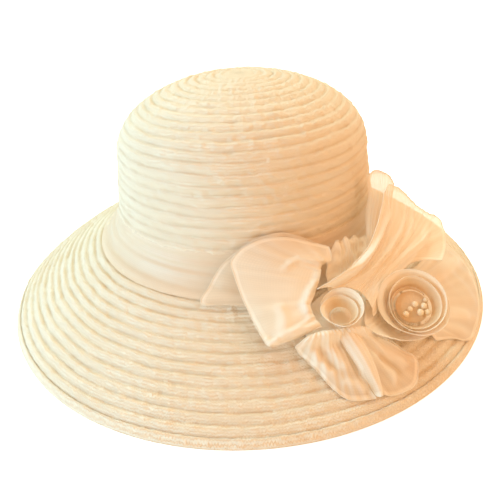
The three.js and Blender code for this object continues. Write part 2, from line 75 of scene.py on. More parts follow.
# One row from its lower to its upper edge: the share of the pitch, and the lift off the hat's surface.
ROW_SHARES = np.array([0.07, 0.20, 0.38, 0.57, 0.73, 0.85, 0.95])
ROW_LIFTS = np.array([-0.22, 0.20, 0.56, 0.82, 0.90, 0.68, 0.12])
# The points of a row that the inside has too, and how much of the lift shows there.
INNER_POINTS = np.array([1, 0, 0, 0, 1, 0, 0])
INNER_RELIEF = 0.75

# The band over the corner. flat is the cut cloth's width and length in metres, as in every piece below.
BAND = {
    "top": 67.0,
    "bend": (89.6, 50.2),
    "bottom_radius": 103.4,
    "clear": 0.4,
    "thick": 1.1,
    "columns": 720,
    "rows": 30,
    "flat": (0.615, 0.029),
}

# The smooth surface under the flower.
SUPPORT_BEND = (134.0, 30.8)
SUPPORT_BLEND = 34
# The petals keep at least this far off it. The second value is the way round the hat in one degree there.
LEAST_LIFT = 1.6
MM_PER_DEGREE = 2.05

# How much of the light single and gathered cloth stop, how far the weave changes that, and the share of
# the light that shines through. The threads are drawn this far apart.
BAND_ALPHA = (0.78, 0.95)
FLOWER_ALPHA = (0.6, 0.9)
WEAVE_CHANGE = 0.06
THROUGH_SHARE = 0.15
THREAD_SPACING = 1.1
# How far the braid's strips stray from a true plait, in the plait's own map.
PLAIT_STRAY = (2.4, 2.4, 0)


def linear(hex_colour):
    """The linear red, green and blue of an sRGB colour such as #f4e8d2."""
    parts = [int(hex_colour[i : i + 2], 16) / 255 for i in (1, 3, 5)]
    return tuple(p / 12.92 if p <= 0.04045 else ((p + 0.055) / 1.055) ** 2.4 for p in parts)


def mix(a, b, share):
    """a and b blended: a + (b - a) share."""
    return a + (b - a) * share


def smooth_step(value, low, high):
    """0 below low, 1 above high, and 3t^2 - 2t^3 between them."""
    t = np.clip((value - low) / (high - low), 0, 1)
    return t * t * (3 - 2 * t)


def unit(vectors):
    """Each vector divided by its length."""
    return vectors / np.maximum(np.linalg.norm(vectors, axis=-1, keepdims=True), 1e-9)


def uneven(points, size, seed, count=24):
    """Soft unevenness at points: the sum of count sines, each along a random direction with a wave length
    near size and a random start, scaled so that it mostly stays between -1 and 1."""
    random = np.random.default_rng(seed)
    directions = unit(random.normal(size=(count, points.shape[-1])))
    waves = 2 * np.pi / (size * random.uniform(0.75, 1.35, count))
    starts = random.uniform(0, 2 * np.pi, count)
    total = np.zeros(points.shape[:-1])
    for direction, wave, start in zip(directions, waves, starts):
        total += np.sin(points @ direction * wave + start)
    return total / math.sqrt(count) * 0.8


def quadratic(start, towards, end, count):
    """Points of (1 - t)^2 start + 2t(1 - t) towards + t^2 end, for t from 0 to 1."""
    t = np.linspace(0, 1, count + 1)[:, None]
    return (1 - t) ** 2 * np.array(start) + 2 * t * (1 - t) * np.array(towards) + t**2 * np.array(end)


class Section:
    """A line of radius and height points, followed by the distance along it."""

    def __init__(self, points):
        self.points = np.asarray(points, float)
        steps = np.linalg.norm(np.diff(self.points, axis=0), axis=1)
        self.along = np.concatenate([[0], np.cumsum(steps)])
        self.length = self.along[-1]

    def place(self, distance):
        """The radius and height at a distance, straight between points and past both ends."""
        distance = np.asarray(distance, float)
        i = np.clip(np.searchsorted(self.along, distance), 1, len(self.along) - 1)
        share = (distance - self.along[i - 1]) / (self.along[i] - self.along[i - 1])
        return mix(self.points[i - 1], self.points[i], share[..., None])

    def lifted(self, distance, lift):
        """The radius and height there, moved out by lift at right angles to the line."""
        here = self.place(distance)
        run = unit(self.place(np.asarray(distance) + 0.5) - self.place(np.asarray(distance) - 0.5))
        return here[..., 0] + lift * run[..., 1], here[..., 1] - lift * run[..., 0]


def on_plan(radius, height, angle):
    """A point of the oval hat: x = r cos a, y = (r + extra min(1, r / 60)) sin a, z = height."""
    deep = radius + EXTRA_LENGTH * np.minimum(1, radius / EXTRA_FULL_FROM)
    return np.stack(np.broadcast_arrays(radius * np.cos(angle), deep * np.sin(angle), height), axis=-1)


def crown_section():
    """The crown's outside: a straight wall, then a dome of r = R cos^p a and h = H sin^p a, where p is
    2 / roundness."""
    angle = np.linspace(0, np.pi / 2, 91)[1:]
    power = 2 / DOME_ROUNDNESS
    radius = SHOULDER[0] * np.maximum(np.cos(angle), 0) ** power
    height = SHOULDER[1] + DOME_HEIGHT * np.sin(angle) ** power
    foot = (CORNER[0], CORNER[1] + SEAM_GAP)
    return Section([foot, SHOULDER, *np.stack([radius, height], axis=1)])


def brim_section():
    """The brim's top: one quadratic curve from the turned-down row up to the corner."""
    return Section(quadratic(TURN_DOWN, BRIM_BEND, CORNER, 60))


def support_section():
    """The brim, a wide quadratic sweep over the corner, and the crown's wall."""
    brim = Section(quadratic((EDGE_RADIUS, 0), SUPPORT_BEND, CORNER, 60))
    cut = brim.length - SUPPORT_BLEND
    wall = math.dist(SHOULDER, CORNER)
    end = mix(np.array(CORNER), np.array(SHOULDER), SUPPORT_BLEND / wall)
    outer = brim.points[brim.along < cut - 1]
    return Section([*outer, *quadratic(brim.place(cut), CORNER, end, 30), SHOULDER])


SUPPORT = support_section()


def over_hat(angle, along, lift):
    """A point over the hat: angle in degrees round it with the front at -90, the distance up from the
    brim's edge, and the height off the surface."""
    radius, height = SUPPORT.lifted(along, lift)
    return on_plan(radius, height, np.radians(angle))


# Meshes


def grid_faces(rows, columns, closed_rows=False, closed_columns=False):
    """The four corners of each face of a grid, row by row, closed on itself where asked."""
    j = np.arange(rows if closed_rows else rows - 1)[:, None]
    i = np.arange(columns if closed_columns else columns - 1)[None, :]
    next_j = (j + 1) % rows
    next_i = (i + 1) % columns
    corners = [j * columns + i, j * columns + next_i, next_j * columns + next_i, next_j * columns + i]
    return np.stack(np.broadcast_arrays(*corners), axis=-1).reshape(-1, 4)


def grid_uv(across, down):
    """The map of each face's corners, from one value across for each column line and one down for each
    row line. Either may also be a grid of values, face row by column line or row line by face column."""
    faces_down = len(down) - 1
    if across.ndim == 1:
        across = np.broadcast_to(across, (faces_down, len(across)))
    left, right = across[:, :-1], across[:, 1:]
    low = np.broadcast_to(down[:-1, None], left.shape)
    high = np.broadcast_to(down[1:, None], left.shape)
    corners = [(left, low), (right, low), (right, high), (left, high)]
    return np.stack([np.stack(corner, axis=-1) for corner in corners], axis=2).reshape(-1, 2)


def build_mesh(name, points, faces, uv=None, cover=None):
    """A smooth object at the origin from points in millimetres, its faces, its map and its cover. Cover is
    how many layers of cloth lie at a point, or how deep it lies in a crease, from 0 to 1. On the braid the
    crease depth darkens the colour, as painted shade."""
    mesh = bpy.data.meshes.new(name)
    mesh.from_pydata((points.reshape(-1, 3) * MM).tolist(), [], [list(face) for face in faces])
    if uv is not None:
        layer = mesh.uv_layers.new(name="cloth")
        layer.data.foreach_set("uv", np.ascontiguousarray(uv, np.float32).ravel())
    if cover is not None:
        attribute = mesh.attributes.new("cover", "FLOAT", "POINT")
        attribute.data.foreach_set("value", np.ascontiguousarray(cover, np.float32).ravel())
    mesh.polygons.foreach_set("use_smooth", np.ones(len(mesh.polygons), bool))
    mesh.validate()
    mesh.update()
    obj = bpy.data.objects.new(name, mesh)
    bpy.context.scene.collection.objects.link(obj)
    return obj


def place_piece(obj, node, material):
    """Gives a finished piece its material, hangs it under the root body and hides the solid that it stands
    for.
    """
    obj.data.materials.append(material)
    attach(obj, "root")
    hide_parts(node)


# Sewn braid


def braid_rows(start, rows):
    """The distances and lifts of a number of rows, and the number of the row that each belongs to."""
    along = (start + ROW_PITCH * (np.arange(rows)[:, None] + ROW_SHARES[None, :])).ravel()
    return along, np.tile(ROW_LIFTS, rows), np.repeat(np.arange(rows), len(ROW_SHARES))


def sewn_rows(section, along, lift, angle, seed, free, depth):
    """The rows as points of a turned grid: the section's line, each ring moved along it and off it.
    Sewn by hand, the rows wander up and down by about half a millimetre, and their laps, depth deep on
    average, fade in and out. free is 1 where a ring may do so and 0 where it may not. The second result
    is how deep in a crease each point lies, from 0 to 1, and the braid's colour is darkened by it there
    as painted shade."""
    radius, height = section.lifted(along, 0 * along)
    place = on_plan(radius[:, None], height[:, None], angle[None, :]) + [0, 0, 2.5] * along[:, None, None]
    wander = 0.42 * uneven(place, 40, seed) * free[:, None]
    here = depth * (1 + 0.38 * uneven(place, 19, seed + 1) * free[:, None])
    lifts = mix(0.6, lift[:, None], np.clip(here, 0.25, 1.6))
    radius, height = section.lifted(along[:, None] + wander, lifts)
    return on_plan(radius, height, angle[None, :]), 1 - smooth_step(lifts, -0.3, 0.55)


def inner_crease_shade(lift):
    """How deep in a hollow a point of the inside lies: it is deepest where the row is highest outside.
    The braid's colour is darkened by it there, as painted shade.
    """
    return 0.8 * smooth_step(lift, 0.0, 0.9)


def hand_sewn(points, outward, row, seed, strength):
    """The braid's unevenness as a move along outward: puckers about 7 mm long, the plait's bumps about
    3 mm long, and each row sitting a little high or low."""
    random = np.random.default_rng(seed)
    per_row = random.uniform(-0.12, 0.12, row.max() + 1)[row][:, None]
    puckers = uneven(points * [1, 1, 1.6], 7, seed + 1)
    bumps = uneven(points, 3.0, seed + 2, 30)
    slow = uneven(points, 60, seed + 3)
    move = (0.26 * puckers + 0.20 * bumps + 0.25 * slow + per_row) * strength
    return points + outward * move[..., None]


def turned_normals(points):
    """The outward direction at each point of a turned grid: across the rows times round the rows."""
    round_it = np.roll(points, -1, axis=1) - np.roll(points, 1, axis=1)
    up = np.gradient(points, axis=0)
    return unit(np.cross(round_it, up))


def braid_map(along, row_radius, columns):
    """Round each row the map runs in whole plaits of the row's own length, and down it is the distance."""
    plaits = np.round(2 * np.pi * row_radius / PLAIT) * PLAIT
    across = plaits[:-1, None] * np.linspace(0, 1, columns + 1)[None, :]
    return grid_uv(across, along)


def make_crown():
    """The crown: its rows turned round the oval plan up to a coiled button, and the same line moved in by
    the wall for its plainer inside, as one closed shell."""
    section = crown_section()
    rise = math.dist(SHOULDER, CORNER)
    band_top = (BAND["top"] - CORNER[1]) / (SHOULDER[1] - CORNER[1]) * rise
    hidden_rows = 3
    button_room = 4
    start = band_top - hidden_rows * ROW_PITCH
    rows = int((section.length - start - button_room) / ROW_PITCH)
    along, lift, row = braid_rows(start, rows)
    along = np.concatenate([[0.0], along])
    lift = np.concatenate([[0.0], lift])
    row = np.concatenate([[0], row])
    last = along[-1]
    button = np.linspace(last + 0.4, section.length - 0.5, 8)
    along = np.concatenate([along, button])
    lift = np.concatenate([lift, np.full(len(button), 0.3)])
    row = np.concatenate([row, np.full(len(button), rows)])
    angle = 2 * np.pi * np.arange(CROWN_COLUMNS) / CROWN_COLUMNS
    radius = np.maximum(section.lifted(along, lift)[0], 0.4)
    free = smooth_step(along, 6, 18) * smooth_step(radius, 6, 22)
    # The crease depth darkens the braid's colour there, as painted shade.
    outside, crease = sewn_rows(section, along, lift, angle, 15, free, 0.75)
    swirl_pitch = 3.2
    swirl = np.sin(angle[None, :] + 2 * np.pi * radius[:, None] / swirl_pitch)
    on_button = (smooth_step(radius, 0.6, 2.2) * (1 - smooth_step(radius, 6.5, 9)))[:, None]
    outside[..., 2] += 0.4 * swirl * on_button
    fade = smooth_step(radius, 4, 16)[:, None]
    outside = hand_sewn(outside, turned_normals(outside), row, 11, fade)

    # Inside, each row shows as a shallow hollow between two low ridges.
    on_button_inside = np.isin(np.arange(len(button)), (1, 4))
    inner = np.flatnonzero(np.concatenate([[1], np.tile(INNER_POINTS, rows), on_button_inside]))[::-1]
    inner_along = along[inner]
    inner_radius, inner_height = section.lifted(inner_along, -WALL + INNER_RELIEF * lift[inner])
    inside = on_plan(np.maximum(inner_radius, 1.2)[:, None], inner_height[:, None], angle[None, :])
    rings = np.concatenate([outside, inside])
    count = len(rings)
    faces = grid_faces(count, CROWN_COLUMNS, closed_rows=True, closed_columns=True)
    cap = len(outside) - 1
    keep = np.arange(len(faces)) // CROWN_COLUMNS != cap
    uv_along = np.concatenate([along, inner_along, along[:1]])
    uv_radius = np.concatenate([radius, inner_radius, radius[:1]])
    row_radius = mean_by_row(uv_radius, np.concatenate([row, row[inner], row[:1]]))
    uv = braid_map(uv_along, row_radius, CROWN_COLUMNS).reshape(-1, 4, 2)[keep].reshape(-1, 2)

    # The last ring of each side closes on one point of the axis.
    points = rings.reshape(-1, 3)
    tips = np.array([[0, 0, outside[-1, :, 2].mean() + 0.1], [0, 0, inside[0, :, 2].mean() + 0.05]])
    i = np.arange(CROWN_COLUMNS)
    next_i = (i + 1) % CROWN_COLUMNS
    top = cap * CROWN_COLUMNS
    below = (cap + 1) * CROWN_COLUMNS
    outer_fan = np.stack([top + i, top + next_i, np.full_like(i, len(points))], axis=1)
    inner_fan = np.stack([below + next_i, below + i, np.full_like(i, len(points) + 1)], axis=1)
    all_faces = faces[keep].tolist() + outer_fan.tolist() + inner_fan.tolist()
    fan_uv = np.zeros((2 * CROWN_COLUMNS * 3, 2))
    inside_crease_shade = np.repeat(inner_crease_shade(lift[inner]), CROWN_COLUMNS)
    cover = np.concatenate([crease.ravel(), inside_crease_shade, [0, 0]])
    all_points = np.concatenate([points, tips])
    return build_mesh("crown_braid", all_points, all_faces, np.concatenate([uv, fan_uv]), cover)


def mean_by_row(radius, row):
    """The mean radius of the row that each point belongs to."""
    total = np.bincount(row, radius)
    return (total / np.maximum(np.bincount(row), 1))[row]


def make_brim():
    """The brim: its rows turned round the oval plan, its last row turned down to the foot, and the same
    line moved down by the wall for the underside, as one closed shell."""
    section = brim_section()
    rows = int((section.length - 8) / ROW_PITCH)
    along, lift, row = braid_rows(0.4, rows)
    radius, height = section.lifted(along, lift)
    corner = [[section.length * 0.985, 0.0], [section.length, 0.0]]
    end_radius, end_height = section.lifted(np.array(corner)[:, 0], np.array(corner)[:, 1])

    # The last row stands on the floor: foot, outer face, and the rounded fold onto the first row.
    edge = np.array(
        [
            [EDGE_RADIUS - 1.9, 0.0],
            [EDGE_RADIUS - 0.9, 0.0],
            [EDGE_RADIUS - 0.1, 0.5],
            [EDGE_RADIUS + 0.1, 1.4],
            [EDGE_RADIUS - 0.1, 2.5],
            [EDGE_RADIUS - 0.7, 3.8],
            [EDGE_RADIUS - 1.5, 5.0],
            [EDGE_RADIUS - 2.1, 5.7],
            [EDGE_RADIUS - 2.9, 5.9],
        ]
    )
    edge_along = -6.5 + 0.72 * np.arange(len(edge))
    top_radius = np.concatenate([edge[:, 0], radius, end_radius])
    top_height = np.concatenate([edge[:, 1], height, end_height])
    top_along = np.concatenate([edge_along, along, np.array(corner)[:, 0]])
    top_row = np.concatenate([np.zeros(len(edge), int), row + 1, [rows + 1, rows + 1]])

    # The underside, from the corner back to the foot, with the same hollows as inside the crown.
    inner = np.flatnonzero(np.tile(INNER_POINTS, rows))[::-1]
    under_along = along[inner]
    under_row = row[inner] + 1
    under_radius, under_height = section.lifted(under_along, -WALL + INNER_RELIEF * lift[inner])
    lip = np.array([[CORNER[0] - WALL, CORNER[1] - 0.4]])
    heel = np.array([[TURN_DOWN[0] - 1.2, TURN_DOWN[1] - 1.4], [EDGE_RADIUS - 2.6, 1.2]])
    under = np.concatenate([lip, np.stack([under_radius, under_height], axis=1), heel])
    under_along = np.concatenate([[section.length], under_along, [-2.0, -5.0]])
    under_row = np.concatenate([[rows + 1], under_row, [0, 0]])

    all_radius = np.concatenate([top_radius, under[:, 0]])
    all_height = np.concatenate([top_height, under[:, 1]])
    all_along = np.concatenate([top_along, under_along])
    all_row = np.concatenate([top_row, under_row])
    angle = 2 * np.pi * np.arange(BRIM_COLUMNS) / BRIM_COLUMNS
    rings = on_plan(all_radius[:, None], all_height[:, None], angle[None, :])
    sewn = slice(len(edge), len(edge) + len(along))
    free = smooth_step(along, 0.5, 12) * (1 - smooth_step(along, section.length - 16, section.length - 6))
    cover = np.zeros(rings.shape[:2])
    # The crease depth darkens the braid's colour there, as painted shade.
    rings[sewn], cover[sewn] = sewn_rows(section, along, lift, angle, 37, free, 1.05)
    below = len(top_radius) + 1
    # The inside's hollows are darkened the same way, as painted shade.
    cover[below : below + len(inner)] = inner_crease_shade(lift[inner])[:, None]
    strength = (smooth_step(all_height, 0.8, 5) * smooth_step(all_radius, 92, 96))[:, None]
    rings = hand_sewn(rings, turned_normals(rings), all_row, 29, strength)
    faces = grid_faces(len(rings), BRIM_COLUMNS, closed_rows=True, closed_columns=True)
    row_radius = mean_by_row(all_radius, all_row)
    uv = braid_map(
        np.concatenate([all_along, all_along[:1]]),
        np.concatenate([row_radius, row_radius[:1]]),
        BRIM_COLUMNS,
    )
    return build_mesh("brim_braid", rings, faces, uv, cover)


# Organza


def hem_tube(path, normal, radius, sides=6):
    """A rolled hem: a ring of radius round each point of the path, in the plane across the path. It
    gives the points and the faces, with the two ends closed."""
    forward = unit(np.gradient(path, axis=0))
    out = unit(normal - forward * (normal * forward).sum(axis=-1, keepdims=True))
    beside = np.cross(forward, out)
    turn = 2 * np.pi * np.arange(sides) / sides
    ring = out[:, None] * np.cos(turn)[None, :, None] + beside[:, None] * np.sin(turn)[None, :, None]
    points = path[:, None] + radius * ring
    faces = grid_faces(len(path), sides, closed_columns=True).tolist()
    faces.append(list(range(sides))[::-1])
    faces.append([(len(path) - 1) * sides + i for i in range(sides)])
    return points.reshape(-1, 3), faces


def sheet_normals(points):
    """The direction off a sheet at each point: down the grid times across it."""
    return unit(np.cross(np.gradient(points, axis=0), np.gradient(points, axis=1)))


def cloth_uv(points):
    """A map in millimetres: the mean distance along the grid's lines, both ways."""
    across = np.linalg.norm(np.diff(points, axis=0), axis=-1).mean(axis=1)
    down = np.linalg.norm(np.diff(points, axis=1), axis=-1).mean(axis=0)
    return np.concatenate([[0], np.cumsum(across)]), np.concatenate([[0], np.cumsum(down)])


def sheet_mesh(name, points, cover, hem_edges, hem_radius, deep):
    """A sheet of cloth from a grid of points, with a rolled hem along the edges that are named. Deep is 1
    in the depth of a rose or of a fold, where the colour turns a deeper gold: painted shade, with the tint
    of cloth lying layer on layer."""
    columns, rows = points.shape[:2]
    normal = sheet_normals(points)
    across, down = cloth_uv(points)
    faces = grid_faces(columns, rows).tolist()
    uv = [grid_uv(down, across)]
    all_points = [points.reshape(-1, 3)]
    covers = [cover.ravel()]
    depths = [deep.ravel()]
    edges = {
        "start": (points[0], normal[0], deep[0]),
        "hem": (points[:, -1], normal[:, -1], deep[:, -1]),
        "end": (points[-1], normal[-1], deep[-1]),
    }
    count = columns * rows
    for edge in hem_edges:
        path, off, edge_deep = edges[edge]
        tube, tube_faces = hem_tube(path, off, hem_radius)
        faces += [[corner + count for corner in face] for face in tube_faces]
        corners = sum(len(face) for face in tube_faces)
        uv.append(np.zeros((corners, 2)))
        all_points.append(tube)
        covers.append(np.ones(len(tube)))
        depths.append(np.repeat(edge_deep, len(tube) // len(path)))
        count += len(tube)
    obj = build_mesh(name, np.concatenate(all_points), faces, np.concatenate(uv), np.concatenate(covers))
    attribute = obj.data.attributes.new("deep", "FLOAT", "POINT")
    attribute.data.foreach_set("value", np.concatenate(depths).astype(np.float32))
    return obj


def turned_in(points, edges, settings):
    """1 on the doubled cloth along the edges that are named, 0 further in than a hem's width."""
    down = np.linalg.norm(np.diff(points, axis=1), axis=-1)
    across = np.linalg.norm(np.diff(points, axis=0), axis=-1)
    nearest = np.full(points.shape[:2], 1e3)
    if "hem" in edges:
        left = np.cumsum(down[:, ::-1], axis=1)[:, ::-1]
        left = np.concatenate([left, np.zeros((len(points), 1))], axis=1)
        nearest = np.minimum(nearest, left)
    zeros = np.zeros((1, points.shape[1]))
    if "start" in edges:
        nearest = np.minimum(nearest, np.concatenate([zeros, np.cumsum(across, axis=0)]))
    if "end" in edges:
        nearest = np.minimum(nearest, np.concatenate([np.cumsum(across[::-1], axis=0)[::-1], zeros]))
    width = settings.hem_width / MM
    return 1 - smooth_step(nearest, 0.75 * width, 1.25 * width)


def ribs_to_grid(ribs, between, rows):
    """The angle, distance and lift over a petal. Across the ribs it is a Catmull-Rom curve, and from
    root to hem the parabola through each rib's three points."""
    ribs = np.array(ribs, float)
    last = len(ribs) - 1
    t = np.linspace(0, last, last * between + 1)
    k = np.minimum(t.astype(int), last - 1)
    local = (t - k)[:, None, None]
    a, b, c, d = (ribs[np.clip(k + step, 0, last)] for step in (-1, 0, 1, 2))
    rib = 0.5 * (2 * b + (c - a) * local + (2 * a - 5 * b + 4 * c - d) * local**2)
    rib += 0.5 * (3 * b - a - 3 * c + d) * local**3
    s = np.linspace(0, 1, rows + 1)[None, :, None]
    root, middle, hem = (1 - s) * (1 - 2 * s), 4 * s * (1 - s), s * (2 * s - 1)
    return root * rib[:, None, 0] + middle * rib[:, None, 1] + hem * rib[:, None, 2], t


def gathers(t, s, seed, folds):
    """Fine folds that run from root to hem: sines across the ribs, folds of them to a rib on average,
    each drifting a little sideways on its way out."""
    random = np.random.default_rng(seed)
    total = np.zeros((len(t), len(s)))
    for weight in (1.0, 0.7, 0.5, 0.4):
        often = folds * random.uniform(0.6, 1.6)
        drift = random.uniform(-1.2, 1.2)
        start = random.uniform(0, 2 * np.pi)
        total += weight * np.sin(2 * np.pi * often * t[:, None] + drift * s[None, :] + start)
    return total / 1.6


def calmed(ribs, share):
    """The ribs with their lifts drawn towards the mean of each rib and its two neighbours."""
    ribs = np.array(ribs, float)
    lift = ribs[..., 2].copy()
    ribs[1:-1, :, 2] = mix(lift[1:-1], (lift[:-2] + 2 * lift[1:-1] + lift[2:]) / 4, share)
    return ribs


def fold_ridges(grid, folds):
    """The lift of folds that run along given lines: height e^(-(d / width)^2), d away from the line, and
    fading out over the last fifth at both ends. The second and third results are the shares of a raised
    and of a sunken fold at each point."""
    place = grid[..., :2] * [MM_PER_DEGREE, 1]
    lift, raised, sunken = np.zeros((3, *place.shape[:2]))
    for line, height, width in folds:
        line = np.array(line, float) * [MM_PER_DEGREE, 1]
        lengths = np.linalg.norm(np.diff(line, axis=0), axis=1)
        starts = np.concatenate([[0], np.cumsum(lengths)])
        nearest = np.full(place.shape[:2], 1e6)
        passed = np.zeros(place.shape[:2])
        for start, run, length, done in zip(line[:-1], np.diff(line, axis=0), lengths, starts):
            share = np.clip(((place - start) @ run) / length**2, 0, 1)
            away = np.linalg.norm(place - start - share[..., None] * run, axis=-1)
            passed = np.where(away < nearest, (done + share * length) / starts[-1], passed)
            nearest = np.minimum(nearest, away)
        fade = smooth_step(passed, -0.08, 0.2) * (1 - smooth_step(passed, 0.8, 1.08))
        shape = np.exp(-((nearest / width) ** 2)) * fade
        lift += height * shape
        raised = np.maximum(raised, shape * (height > 0))
        sunken = np.maximum(sunken, shape * (height < 0))
    return lift, raised, sunken


def petal_piece(name, petal, settings):
    """A petal: its ribs' surface with drawn folds, gathers that are deepest at the root, soft dents,
    and a hem."""
    between, rows = petal.get("between", 14), petal.get("rows", 48)
    ribs = calmed(petal["ribs"], petal.get("calm", 0.8))
    ribs[:, 0] += petal.get("reach", (0, 0, 0))
    grid, t = ribs_to_grid(ribs, between, rows)
    drawn, raised, sunken = fold_ridges(grid, petal.get("drawn", ()))
    grid[..., 2] += drawn
    s = np.linspace(0, 1, rows + 1)
    folds = gathers(t, s, petal["seed"], petal.get("folds", 1.0))
    envelope = petal.get("gather", 0.7) * (1 - 0.75 * s) + petal.get("flutter", 0.25) * s**2
    grid[..., 2] += folds * envelope[None, :]
    flat = over_hat(grid[..., 0], grid[..., 1], grid[..., 2])
    dents = uneven(flat, petal.get("dent_size", 16), petal["seed"] + 5)
    away_from_ends = np.sin(np.pi * s) ** 0.5
    grid[..., 2] += petal.get("dent", 0.5) * dents * away_from_ends[None, :]
    grid[..., 2] = np.maximum(grid[..., 2], LEAST_LIFT)
    points = over_hat(grid[..., 0], grid[..., 1], grid[..., 2])
    edges = petal.get("hems", ("start", "hem", "end"))
    # Cover rises at the gathered root, at the hems, on raised folds and a little on the gathers' crests,
    # and falls in sunken folds. It makes the cloth denser and paler; on raised folds and crests the paler
    # colour is a painted highlight, in sunken folds the darker one is painted shade.
    cover = petal.get("cover", 0.3) + 0.7 * (1 - s[None, :]) ** 1.2 + 0.12 * folds
    cover = np.clip(cover + 0.6 * turned_in(points, edges, settings) + 0.7 * raised - 0.2 * sunken, 0, 1)
    roll = settings.hem_roll / MM / 2
    # Sunken folds get the deep colour, painted shade.
    return sheet_mesh(name, points, cover, edges, roll, petal.get("fold_shade", 0.4) * sunken)
